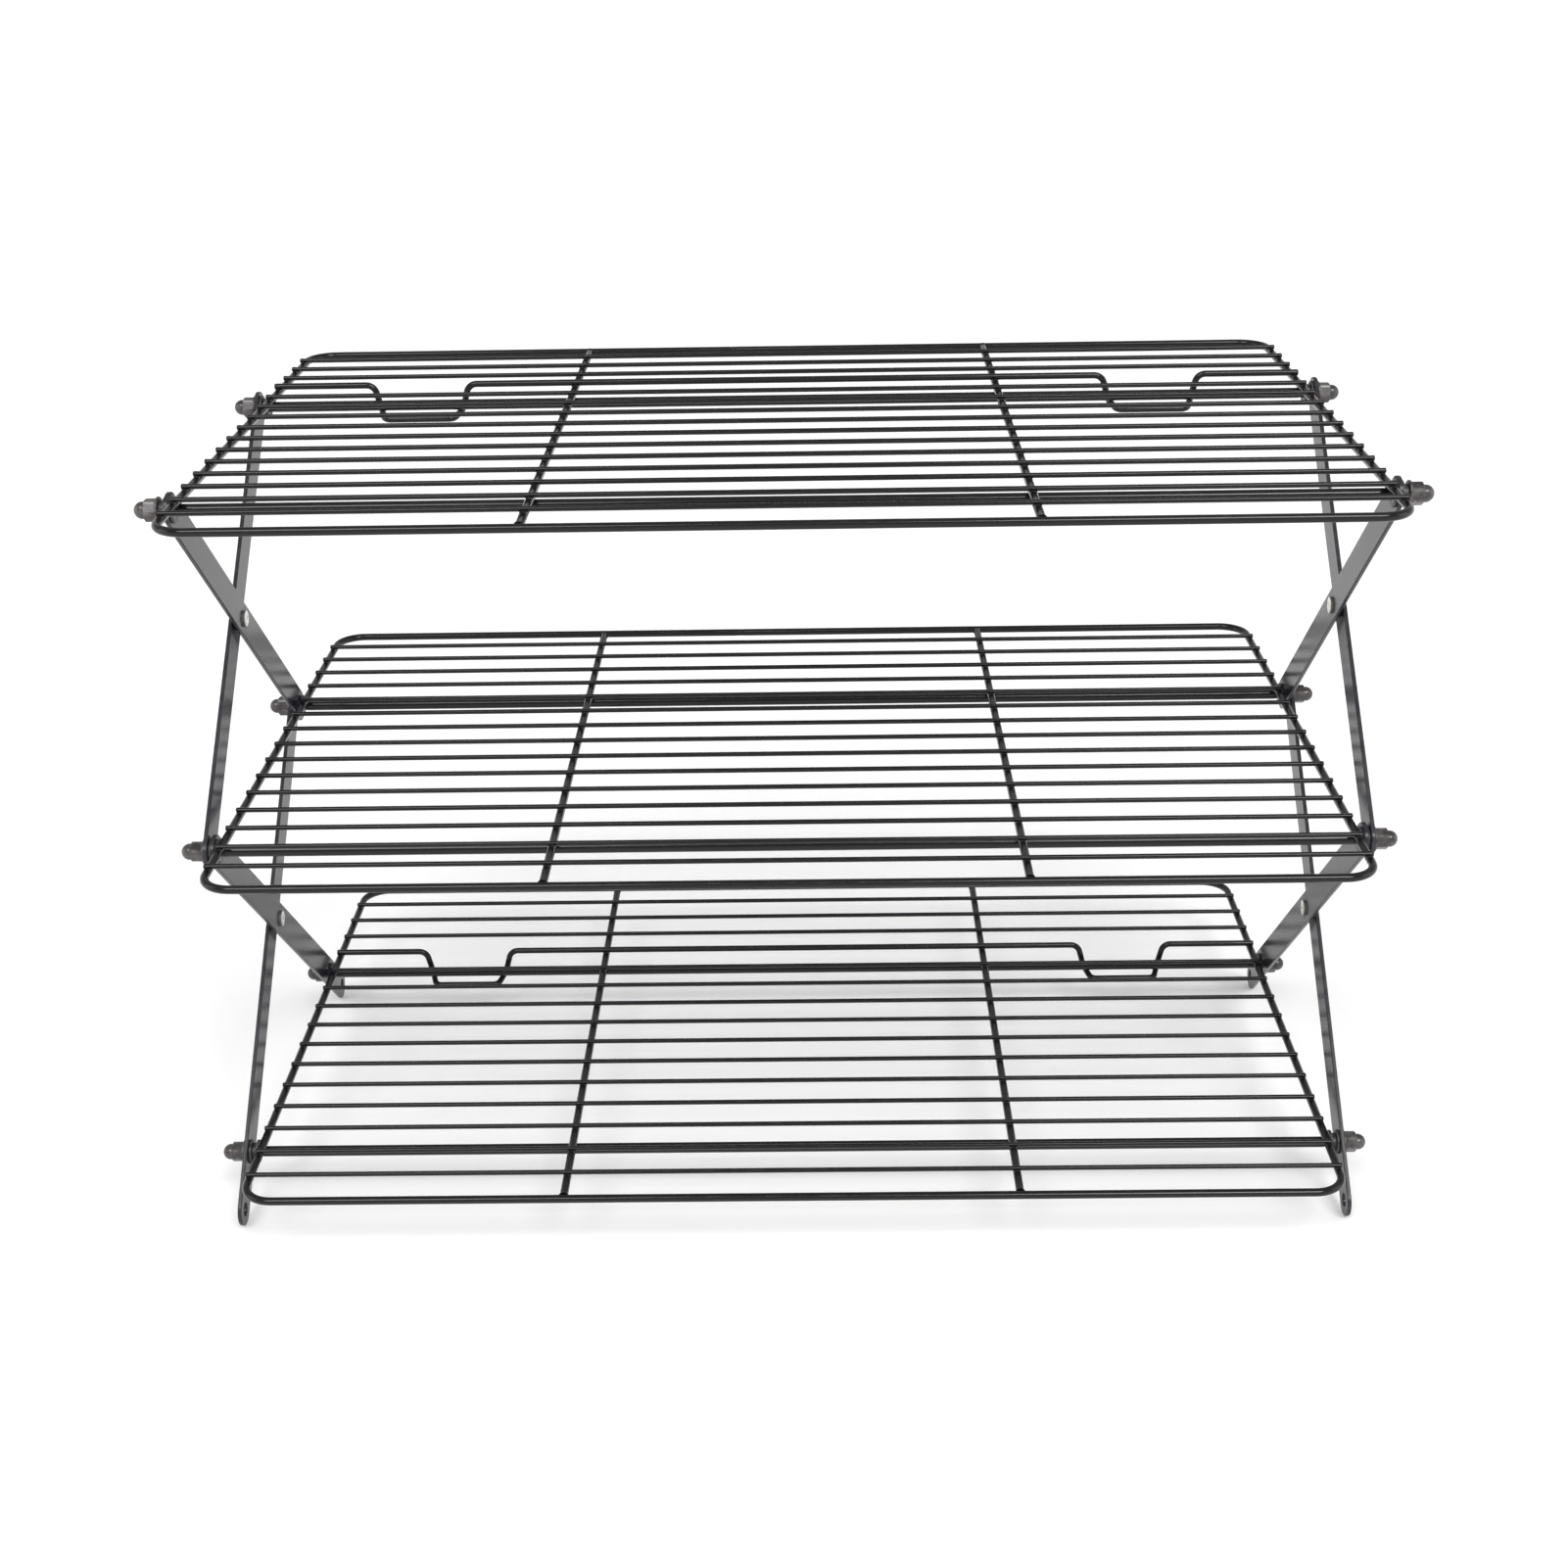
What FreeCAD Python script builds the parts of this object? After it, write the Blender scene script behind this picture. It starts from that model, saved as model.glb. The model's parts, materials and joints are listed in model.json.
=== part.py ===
import FreeCAD, Part
import math
import os

import Sketcher

# A three-shelf folding wire cooling rack, in millimetres.
# X runs along the shelves, +Y to the back, +Z up.  The origin is under the middle of the rack,
# at the height of the feet.  The rack is drawn open, as it stands in use.

Vector = FreeCAD.Vector

TIERS = ("bottom", "middle", "top")
SIDES = {"left": -1, "right": 1}
X_AXIS = Vector(1, 0, 0)
Z_AXIS = Vector(0, 0, 1)

DRIVING_SIZES = (
    # shelves
    ("frame_width", 400.0),
    ("frame_depth", 254.0),
    ("frame_wire_dia", 3.0),
    ("frame_corner", 11.0),
    ("stay_offset", 82.0),
    ("tier_gap", 125.0),
    ("weld_sink", 0.15),
    # cross wires and latch wires
    ("cross_wire_dia", 1.8),
    ("cross_wire_pitch", 15.6),
    ("cross_wire_inset", 13.7),
    ("cross_wire_setback", 0.5),
    ("latch_wire_dia", 2.5),
    ("latch_loop_offset", 142.0),
    ("latch_loop_mouth", 37.0),
    ("latch_loop_base", 27.0),
    ("latch_loop_drop", 11.2),
    ("latch_loop_reach", 9.8),
    ("latch_heel_drop", 9.4),
    ("latch_heel_reach", 1.2),
    ("latch_shoulder_bend", 4.0),
    ("latch_loop_bend", 3.0),
    # tie rods
    ("rod_dia", 4.0),
    ("rod_gap", 140.0),
    ("front_rod_inset", 38.5),
    ("rod_play", 0.3),
    ("rod_chamfer", 0.4),
    ("rod_end_gap", 0.4),
    ("weld_pad_length", 2.2),
    ("weld_pad_width", 1.8),
    ("weld_pad_sink", 0.5),
    # arms
    ("arm_width", 12.0),
    ("arm_thickness", 1.5),
    ("arm_edge_round", 0.3),
    ("foot_reach", 22.0),
    ("foot_hole_dia", 5.0),
    ("pivot_hole_dia", 4.16),
    ("open_pivot_hole_dia", 4.5),
    # washers, spacers and nuts
    ("side_gap", 0.4),
    ("axial_play", 0.1),
    ("washer_dia", 9.0),
    ("washer_bore", 4.3),
    ("washer_thickness", 0.8),
    ("spacer_dia", 6.6),
    ("nut_across_flats", 7.0),
    ("nut_hex_height", 4.2),
    ("nut_height", 8.0),
    ("nut_dome_dia", 5.9),
    ("nut_bore_dia", 4.1),
    ("nut_bore_depth", 5.6),
    ("nut_bevel_angle", 30.0),
    # rivets
    ("rivet_head_dia", 6.2),
    ("rivet_head_height", 1.3),
    ("rivet_tail_dia", 6.0),
    ("rivet_tail_height", 1.1),
)

LATCH_ROW = 12
CROSS_WIRE_COUNT = 15

doc = FreeCAD.newDocument("cooling_rack")
sizes = doc.addObject("Spreadsheet::Sheet", "Sizes")
for row, (alias, size) in enumerate(DRIVING_SIZES, start=1):
    sizes.set(f"A{row}", alias)
    sizes.set(f"B{row}", str(size))
    sizes.setAlias(f"B{row}", alias)
doc.recompute()

# Places and lengths that follow from the driving sizes, as expressions on the sheet.

FRAME_HALF_X = "((Sizes.frame_width - Sizes.frame_wire_dia) / 2)"
FRAME_HALF_Y = "((Sizes.frame_depth - Sizes.frame_wire_dia) / 2)"
FRAME_RADIUS = "(Sizes.frame_wire_dia / 2)"
ROD_RADIUS = "(Sizes.rod_dia / 2)"
ROD_DROP = f"({FRAME_RADIUS} + {ROD_RADIUS} + Sizes.rod_play)"
ARM_LENGTH = "sqrt(Sizes.rod_gap ^ 2 + Sizes.tier_gap ^ 2)"
LOWEST_ROD_Z = f"(Sizes.foot_reach * Sizes.tier_gap / {ARM_LENGTH} + Sizes.arm_width / 2)"
ROD_Y = {
    "front": f"(Sizes.front_rod_inset - {FRAME_HALF_Y})",
    "back": f"(Sizes.front_rod_inset - {FRAME_HALF_Y} + Sizes.rod_gap)",
}

# Each rod end is a stack along X: washer, inner arm, washer, outer arm, washer, cap nut.
# The lowest back rod carries one arm, so its nut follows straight after the second washer.
STACK_START = "(Sizes.frame_width / 2 + Sizes.side_gap)"
STACK_STEP = "(Sizes.washer_thickness + Sizes.arm_thickness + 2 * Sizes.axial_play)"
INNER_ARM_X = f"({STACK_START} + Sizes.washer_thickness + Sizes.axial_play)"
OUTER_ARM_X = f"({INNER_ARM_X} + {STACK_STEP})"


def rod_z(tier):
    """Height of a shelf's two rods."""
    return f"({LOWEST_ROD_Z} + {TIERS.index(tier)} * Sizes.tier_gap)"


def shelf_z(tier):
    """Height of a shelf frame's centreline."""
    return f"({rod_z(tier)} + {ROD_DROP})"


def arm_places(tier, end):
    """How many arms a rod's end has room for."""
    return 1 if (tier, end) == ("bottom", "back") else 2


def nut_x(tier, end):
    """Where the cap nut starts on a rod's end."""
    return f"({STACK_START} + {arm_places(tier, end)} * {STACK_STEP} + Sizes.washer_thickness)"


def num(expression):
    """An expression's value."""
    result = sizes.evalExpression(expression)
    return float(getattr(result, "Value", result))


subparts = []


def subpart(kind, label):
    """A new object that becomes one STEP file."""
    item = doc.addObject(kind, label)
    item.Label = label
    subparts.append(item)
    return item


def place(item, x="0", y="0", z="0", axis=X_AXIS, angle=0.0):
    """Turn an object by a fixed angle and bind its place to the sheet."""
    spot = Vector(num(x), num(y), num(z))
    item.Placement = FreeCAD.Placement(spot, FreeCAD.Rotation(axis, angle))
    for direction, expression in (("x", x), ("y", y), ("z", z)):
        item.setExpression(f"Placement.Base.{direction}", expression)


def origin_feature(body, role):
    """One of a body's own origin planes or axes."""
    return next(item for item in body.Origin.OriginFeatures if item.Role == role)


def sketch_on(body, role, name, offset=None):
    """A sketch on one of the body's origin planes, or a bound distance off it."""
    sketch = body.newObject("Sketcher::SketchObject", name)
    sketch.AttachmentSupport = [(origin_feature(body, role), "")]
    sketch.MapMode = "FlatFace"
    if offset is not None:
        sketch.setExpression("AttachmentOffset.Base.z", offset)
    return sketch


def dimension(sketch, name, kind, references, expression):
    """A driving dimension, bound to the sheet."""
    index = sketch.addConstraint(Sketcher.Constraint(kind, *references, num(expression)))
    sketch.renameConstraint(index, name)
    sketch.setExpression(f"Constraints.{name}", expression)


def join(sketch, kind, *references):
    """A geometric constraint."""
    sketch.addConstraint(Sketcher.Constraint(kind, *references))


def add_circle(sketch, name, diameter, across="0", up="0"):
    """A circle with a bound diameter and centre."""
    centre = Vector(num(across), num(up), 0)
    index = sketch.addGeometry(Part.Circle(centre, Z_AXIS, num(diameter) / 2), False)
    dimension(sketch, f"{name}_dia", "Diameter", (index,), diameter)
    for kind, suffix, distance, axis in (
        ("DistanceX", "across", across, -2),
        ("DistanceY", "up", up, -1),
    ):
        if distance == "0":
            join(sketch, "PointOnObject", index, 3, axis)
        else:
            dimension(sketch, f"{name}_{suffix}", kind, (-1, 1, index, 3), distance)
    return index


def add_polygon(sketch, points):
    """A closed run of lines; returns the number of its first line."""
    corners = [Vector(across, up, 0) for across, up in points]
    lines = [
        sketch.addGeometry(Part.LineSegment(start, end), False)
        for start, end in zip(corners, corners[1:] + corners[:1])
    ]
    for line, following in zip(lines, lines[1:] + lines[:1]):
        join(sketch, "Coincident", line, 2, following, 1)
    return lines[0]


def pad(body, sketch, name, length, midplane=False):
    """A pad of bound length."""
    feature = body.newObject("PartDesign::Pad", name)
    feature.Profile = sketch
    feature.Midplane = midplane
    feature.setExpression("Length", length)
    return feature


def mirrored(body, name):
    """The same solids at the rack's other side as well."""
    mirror = body.newObject("PartDesign::Mirrored", name)
    mirror.TransformMode = "Whole shape"
    mirror.MirrorPlane = (origin_feature(body, "YZ_Plane"), [""])
    body.Tip = mirror


# Shelves


def shelf_frame(tier):
    """The closed wire round a shelf: a circle swept along a rounded rectangle."""
    body = subpart("PartDesign::Body", f"{tier}_shelf_frame")
    spine = sketch_on(body, "XY_Plane", f"{tier}_frame_spine")
    half_x = num(FRAME_HALF_X)
    half_y = num(FRAME_HALF_Y)
    radius = num("Sizes.frame_corner")
    corner_x = half_x - radius
    corner_y = half_y - radius

    def line(*ends):
        spine.addGeometry(Part.LineSegment(*(Vector(x, y, 0) for x, y in ends)), False)

    def corner(x, y, quarter):
        circle = Part.Circle(Vector(x, y, 0), Z_AXIS, radius)
        start = quarter * math.pi / 2
        spine.addGeometry(Part.ArcOfCircle(circle, start, start + math.pi / 2), False)

    line((half_x, 0), (half_x, corner_y))
    corner(corner_x, corner_y, 0)
    line((corner_x, half_y), (-corner_x, half_y))
    corner(-corner_x, corner_y, 1)
    line((-half_x, corner_y), (-half_x, -corner_y))
    corner(-corner_x, -corner_y, 2)
    line((-corner_x, -half_y), (corner_x, -half_y))
    corner(corner_x, -corner_y, 3)
    line((half_x, -corner_y), (half_x, 0))

    arcs = (1, 3, 5, 7)
    for piece in range(8):
        join(spine, "Tangent", piece, 2, piece + 1, 1)
    join(spine, "Coincident", 8, 2, 0, 1)
    join(spine, "PointOnObject", 0, 1, -1)
    for upright in (0, 4):
        join(spine, "Vertical", upright)
    for arc in arcs[1:]:
        join(spine, "Equal", arcs[0], arc)
    dimension(spine, "corner", "Radius", (arcs[0],), "Sizes.frame_corner")
    dimension(spine, "right", "DistanceX", (-1, 1, 0, 1), FRAME_HALF_X)
    dimension(spine, "left", "DistanceX", (4, 1, -1, 1), FRAME_HALF_X)
    dimension(spine, "back", "DistanceY", (-1, 1, 2, 1), FRAME_HALF_Y)
    dimension(spine, "front", "DistanceY", (6, 1, -1, 1), FRAME_HALF_Y)

    section = sketch_on(body, "XZ_Plane", f"{tier}_frame_section")
    add_circle(section, "wire", "Sizes.frame_wire_dia", across=FRAME_HALF_X)

    pipe = body.newObject("PartDesign::AdditivePipe", f"{tier}_frame_wire")
    pipe.Profile = section
    pipe.Spine = spine
    place(body, z=shelf_z(tier))


def stay_wire(tier, side):
    """A straight wire from the frame's front to its back, welded at both ends."""
    stay = subpart("Part::Cylinder", f"{tier}_stay_{side}")
    length = "(Sizes.frame_depth - 2 * Sizes.frame_wire_dia + 2 * Sizes.weld_sink)"
    stay.setExpression("Radius", FRAME_RADIUS)
    stay.setExpression("Height", length)
    place(
        stay,
        x=f"{SIDES[side]} * Sizes.stay_offset",
        y=f"-{length} / 2",
        z=shelf_z(tier),
        angle=-90.0,
    )


def row_y(row):
    """Where a cross wire lies, counted from the front."""
    return f"(Sizes.cross_wire_inset - {FRAME_HALF_Y} + {row - 1} * Sizes.cross_wire_pitch)"


CROSS_WIRE_HALF = "(Sizes.frame_width / 2 - Sizes.cross_wire_setback)"


def cross_wires(tier, rows):
    """The thin wires across the top of a shelf, all from one sketch."""
    body = subpart("PartDesign::Body", f"{tier}_cross_wires")
    height = f"({FRAME_RADIUS} + Sizes.cross_wire_dia / 2 - Sizes.weld_sink)"
    sketch = sketch_on(body, "YZ_Plane", f"{tier}_cross_wire_rows")
    for row in rows:
        add_circle(sketch, f"row_{row}", "Sizes.cross_wire_dia", across=row_y(row), up=height)
    wires = pad(body, sketch, f"{tier}_cross_wire_pad", f"2 * {CROSS_WIRE_HALF}", midplane=True)
    body.Tip = wires
    place(body, z=shelf_z(tier))


def bent_wire(points, bends, diameter):
    """A round wire along straight runs, joined by a tangent arc at each inner point."""
    edges = []
    start = points[0]
    for before, corner, after, radius in zip(points, points[1:], points[2:], bends):
        arriving = (corner - before).normalize()
        leaving = (after - corner).normalize()
        half_turn = arriving.getAngle(leaving) / 2
        cut = radius * math.tan(half_turn)
        inward = (leaving - arriving).normalize()
        arc_start = corner - arriving * cut
        arc_end = corner + leaving * cut
        arc_middle = corner + inward * radius * (1 / math.cos(half_turn) - 1)
        edges.append(Part.LineSegment(start, arc_start).toShape())
        edges.append(Part.Arc(arc_start, arc_middle, arc_end).toShape())
        start = arc_end
    edges.append(Part.LineSegment(start, points[-1]).toShape())
    path = Part.Wire(edges)
    disc = Part.Wire(Part.makeCircle(diameter / 2, points[0], points[1] - points[0]))
    return path.makePipeShell([disc], True, True)


def latch_wire(tier):
    """The thick cross wire with two loops that pass behind and under the back rod."""
    half = num(CROSS_WIRE_HALF)
    mouth = num("Sizes.latch_loop_mouth / 2")
    base = num("Sizes.latch_loop_base / 2")
    offset = num("Sizes.latch_loop_offset")
    drop = num("Sizes.latch_loop_drop")
    reach = num("Sizes.latch_loop_reach")
    heel_x = (mouth + base) / 2
    heel_y = -num("Sizes.latch_heel_reach")
    heel_z = -num("Sizes.latch_heel_drop")
    loop = [
        Vector(-mouth, 0, 0),
        Vector(-heel_x, heel_y, heel_z),
        Vector(-base, -reach, -drop),
        Vector(base, -reach, -drop),
        Vector(heel_x, heel_y, heel_z),
        Vector(mouth, 0, 0),
    ]
    shoulder = num("Sizes.latch_shoulder_bend")
    tight = num("Sizes.latch_loop_bend")
    points = [Vector(-half, 0, 0)]
    bends = []
    for middle in (-offset, offset):
        points += [point + Vector(middle, 0, 0) for point in loop]
        bends += [shoulder] + [tight] * (len(loop) - 2) + [shoulder]
    points.append(Vector(half, 0, 0))

    wire = subpart("Part::Feature", f"{tier}_latch_wire")
    wire.Shape = bent_wire(points, bends, num("Sizes.latch_wire_dia"))
    height = f"({FRAME_RADIUS} + Sizes.latch_wire_dia / 2 - Sizes.weld_sink)"
    place(wire, y=row_y(LATCH_ROW), z=f"{shelf_z(tier)} + {height}")


# Tie rods and what is threaded on them


def tie_rod(tier, end, welded=False):
    """A rod from one side's cap nut to the other's."""
    body = subpart("PartDesign::Body", f"{tier}_{end}_rod")
    section = sketch_on(body, "YZ_Plane", f"{tier}_{end}_rod_section")
    add_circle(section, "rod", "Sizes.rod_dia")
    length = f"2 * ({nut_x(tier, end)} + Sizes.nut_bore_depth - Sizes.rod_end_gap)"
    bar = pad(body, section, f"{tier}_{end}_rod_pad", length, midplane=True)
    doc.recompute()
    rims = [
        f"Edge{number}"
        for number, edge in enumerate(bar.Shape.Edges, start=1)
        if isinstance(edge.Curve, Part.Circle)
    ]
    chamfer = body.newObject("PartDesign::Chamfer", f"{tier}_{end}_rod_chamfer")
    chamfer.Base = (bar, rims)
    chamfer.setExpression("Size", "Sizes.rod_chamfer")
    body.Tip = chamfer
    if welded:
        weld_pads(body, tier)
    place(body, y=ROD_Y[end], z=rod_z(tier))


def weld_pads(body, tier):
    """The four spots of weld between a rod and the wires that lie across it."""
    start = f"{ROD_RADIUS} - Sizes.weld_pad_sink"
    sketch = sketch_on(body, "XY_Plane", f"{tier}_weld_pads", offset=start)
    half_x = num("Sizes.weld_pad_length / 2")
    half_y = num("Sizes.weld_pad_width / 2")
    spots = (f"-{FRAME_HALF_X}", "-Sizes.stay_offset", "Sizes.stay_offset", FRAME_HALF_X)
    for number, spot in enumerate(spots):
        x = num(spot)
        first = add_polygon(
            sketch,
            (
                (x - half_x, -half_y),
                (x + half_x, -half_y),
                (x + half_x, half_y),
                (x - half_x, half_y),
            ),
        )
        for flat in (first, first + 2):
            join(sketch, "Horizontal", flat)
        for upright in (first + 1, first + 3):
            join(sketch, "Vertical", upright)
        corner = (first, 1)
        side = (first + 1, 1, first + 1, 2)
        left = f"{spot} - Sizes.weld_pad_length / 2"
        front = "Sizes.weld_pad_width / 2"
        dimension(sketch, f"long_{number}", "DistanceX", (first, 1, first, 2), "Sizes.weld_pad_length")
        dimension(sketch, f"wide_{number}", "DistanceY", side, "Sizes.weld_pad_width")
        dimension(sketch, f"at_{number}", "DistanceX", (-1, 1, *corner), left)
        dimension(sketch, f"front_{number}", "DistanceY", (*corner, -1, 1), front)
    height = "Sizes.weld_pad_sink + Sizes.rod_play + 2 * Sizes.weld_sink"
    body.Tip = pad(body, sketch, f"{tier}_weld_pad", height)


def rod_washers(tier, end):
    """The washers at each end of a rod: one before each arm and one before the nut."""
    body = subpart("PartDesign::Body", f"{tier}_{end}_washers")
    sketch = sketch_on(body, "YZ_Plane", f"{tier}_{end}_washer_ring", offset=STACK_START)
    add_circle(sketch, "outer", "Sizes.washer_dia")
    add_circle(sketch, "bore", "Sizes.washer_bore")
    first = pad(body, sketch, f"{tier}_{end}_washer_pad", "Sizes.washer_thickness")
    doc.recompute()
    washers = body.newObject("PartDesign::MultiTransform", f"{tier}_{end}_washer_set")
    washers.Originals = [first]
    row = body.newObject("PartDesign::LinearPattern", f"{tier}_{end}_washer_row")
    row.Direction = (origin_feature(body, "X_Axis"), [""])
    row.Occurrences = arm_places(tier, end) + 1
    row.setExpression("Length", f"{arm_places(tier, end)} * {STACK_STEP}")
    mirror = body.newObject("PartDesign::Mirrored", f"{tier}_{end}_washer_mirror")
    mirror.MirrorPlane = (origin_feature(body, "YZ_Plane"), [""])
    washers.Transformations = [row, mirror]
    body.Tip = washers
    place(body, y=ROD_Y[end], z=rod_z(tier))


def ring_pair(label, arm_x, place_y, place_z, outer, bore, thickness):
    """A ring at the same place on both sides of the rack."""
    body = subpart("PartDesign::Body", label)
    sketch = sketch_on(body, "YZ_Plane", f"{label}_ring", offset=arm_x)
    add_circle(sketch, "outer", outer)
    add_circle(sketch, "bore", bore)
    pad(body, sketch, f"{label}_pad", thickness)
    doc.recompute()
    mirrored(body, f"{label}_mirror")
    place(body, y=place_y, z=place_z)


def arm_spacers(tier, end, missing_arm_x):
    """Short tubes that take the place of the arm which a rod end doesn't carry."""
    ring_pair(
        f"{tier}_{end}_spacers",
        f"{missing_arm_x} - Sizes.axial_play",
        ROD_Y[end],
        rod_z(tier),
        "Sizes.spacer_dia",
        "Sizes.washer_bore",
        "Sizes.arm_thickness + 2 * Sizes.axial_play",
    )


def cap_nuts(tier, end):
    """A hexagon nut with a domed blind cap on each end of a rod."""
    name = f"{tier}_{end}_nut"
    start = nut_x(tier, end)
    body = subpart("PartDesign::Body", f"{name}s")
    hexagon = sketch_on(body, "YZ_Plane", f"{name}_hexagon", offset=start)
    corner_radius = "(Sizes.nut_across_flats / sqrt(3))"
    circle = add_circle(hexagon, "corners", f"2 * {corner_radius}")
    hexagon.toggleConstruction(circle)
    radius = num(corner_radius)
    corners = [
        (radius * math.cos(turn * math.pi / 3), radius * math.sin(turn * math.pi / 3))
        for turn in range(6)
    ]
    first = add_polygon(hexagon, corners)
    for side in range(6):
        join(hexagon, "PointOnObject", first + side, 1, circle)
    for side in range(1, 6):
        join(hexagon, "Equal", first, first + side)
    join(hexagon, "PointOnObject", first, 1, -1)
    pad(body, hexagon, f"{name}_hexagon_pad", "Sizes.nut_hex_height")

    inner = num(start)
    tip = inner + num("Sizes.nut_height")
    dome = num("Sizes.nut_dome_dia / 2")
    profile = sketch_on(body, "XY_Plane", f"{name}_dome_profile")
    shoulder = Vector(tip - dome, dome, 0)
    edges = (
        Part.LineSegment(Vector(tip, 0, 0), Vector(inner, 0, 0)),
        Part.LineSegment(Vector(inner, 0, 0), Vector(inner, dome, 0)),
        Part.LineSegment(Vector(inner, dome, 0), shoulder),
        Part.ArcOfCircle(Part.Circle(Vector(tip - dome, 0, 0), Z_AXIS, dome), 0, math.pi / 2),
    )
    axis_line, back, wall, arc = (profile.addGeometry(edge, False) for edge in edges)
    join(profile, "Coincident", axis_line, 2, back, 1)
    join(profile, "Coincident", back, 2, wall, 1)
    join(profile, "Tangent", wall, 2, arc, 2)
    join(profile, "Coincident", arc, 1, axis_line, 1)
    join(profile, "PointOnObject", axis_line, 1, -1)
    join(profile, "PointOnObject", arc, 3, -1)
    join(profile, "Vertical", back)
    join(profile, "PointOnObject", axis_line, 2, -1)
    dimension(profile, "dome", "Radius", (arc,), "Sizes.nut_dome_dia / 2")
    dimension(profile, "inner", "DistanceX", (-1, 1, axis_line, 2), start)
    dimension(profile, "tip", "DistanceX", (axis_line, 2, axis_line, 1), "Sizes.nut_height")
    cap = body.newObject("PartDesign::Revolution", f"{name}_dome")
    cap.Profile = profile
    cap.ReferenceAxis = (profile, ["H_Axis"])
    doc.recompute()
    solid_volume = cap.Shape.Volume

    cutter = sketch_on(body, "XY_Plane", f"{name}_corner_cut")
    flat = num("Sizes.nut_across_flats / 2")
    past_corners = 2 * radius
    rise = (past_corners - flat) * math.tan(math.radians(num("Sizes.nut_bevel_angle")))
    for face_x, direction in ((inner, 1), (inner + num("Sizes.nut_hex_height"), -1)):
        ramp_end = (face_x + direction * rise, past_corners)
        add_polygon(cutter, ((face_x, flat), (face_x, past_corners), ramp_end))
    bevel = body.newObject("PartDesign::Groove", f"{name}_bevel")
    bevel.Profile = cutter
    bevel.ReferenceAxis = (cutter, ["H_Axis"])

    bore = sketch_on(body, "YZ_Plane", f"{name}_bore", offset=start)
    add_circle(bore, "thread", "Sizes.nut_bore_dia")
    thread = body.newObject("PartDesign::Pocket", f"{name}_thread")
    thread.Profile = bore
    thread.Reversed = True
    thread.setExpression("Length", "Sizes.nut_bore_depth")
    doc.recompute()
    if not thread.Shape.Volume < bevel.Shape.Volume < solid_volume:
        raise RuntimeError(f"{name}: a cut removed nothing")
    mirrored(body, f"{name}_mirror")
    place(body, y=ROD_Y[end], z=rod_z(tier))


# Arms and rivets


def flat_arm(label, side, arm_x, top, drop_angle, foot, open_pivot):
    """A flat bar with round ends, pivoting at its top, its middle and above its foot."""
    body = subpart("PartDesign::Body", label)
    sketch = sketch_on(body, "YZ_Plane", f"{label}_outline")
    tip = f"({ARM_LENGTH} + Sizes.foot_reach)" if foot else ARM_LENGTH
    radius = num("Sizes.arm_width / 2")
    far = num(tip)
    edges = (
        Part.ArcOfCircle(Part.Circle(Vector(0, 0, 0), Z_AXIS, radius), math.pi / 2, 1.5 * math.pi),
        Part.LineSegment(Vector(0, -radius, 0), Vector(far, -radius, 0)),
        Part.ArcOfCircle(Part.Circle(Vector(far, 0, 0), Z_AXIS, radius), -math.pi / 2, math.pi / 2),
        Part.LineSegment(Vector(far, radius, 0), Vector(0, radius, 0)),
    )
    outline = [sketch.addGeometry(edge, False) for edge in edges]
    for piece, following in zip(outline, outline[1:] + outline[:1]):
        join(sketch, "Tangent", piece, 2, following, 1)
    join(sketch, "Coincident", outline[0], 3, -1, 1)
    join(sketch, "PointOnObject", outline[2], 3, -1)
    dimension(sketch, "end_round", "Radius", (outline[0],), "Sizes.arm_width / 2")
    dimension(sketch, "reach", "DistanceX", (-1, 1, outline[2], 3), tip)
    low_hole = "Sizes.open_pivot_hole_dia" if open_pivot else "Sizes.pivot_hole_dia"
    add_circle(sketch, "top_hole", "Sizes.pivot_hole_dia")
    add_circle(sketch, "middle_hole", "Sizes.pivot_hole_dia", across=f"{ARM_LENGTH} / 2")
    add_circle(sketch, "low_hole", low_hole, across=ARM_LENGTH)
    if foot:
        add_circle(sketch, "foot_hole", "Sizes.foot_hole_dia", across=tip)
    bar = pad(body, sketch, f"{label}_pad", "Sizes.arm_thickness")
    doc.recompute()

    largest_hole = num("Sizes.foot_hole_dia") / 2
    rim = []
    for number, edge in enumerate(bar.Shape.Edges, start=1):
        flat_to_face = edge.BoundBox.XLength < 0.01
        round_end = isinstance(edge.Curve, Part.Circle) and edge.Curve.Radius > largest_hole
        if flat_to_face and (round_end or isinstance(edge.Curve, Part.Line)):
            rim.append(f"Edge{number}")
    fillet = body.newObject("PartDesign::Fillet", f"{label}_edges")
    fillet.Base = (bar, rim)
    fillet.setExpression("Radius", "Sizes.arm_edge_round")
    body.Tip = fillet

    tier, end = top
    x = arm_x if SIDES[side] > 0 else f"-({arm_x} + Sizes.arm_thickness)"
    place(body, x=x, y=ROD_Y[end], z=rod_z(tier), angle=drop_angle)


def crossing(tier):
    """Where the arms under a shelf cross, as expressions for Y and Z."""
    y = f"({ROD_Y['front']} + Sizes.rod_gap / 2)"
    return y, f"({rod_z(tier)} - Sizes.tier_gap / 2)"


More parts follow.
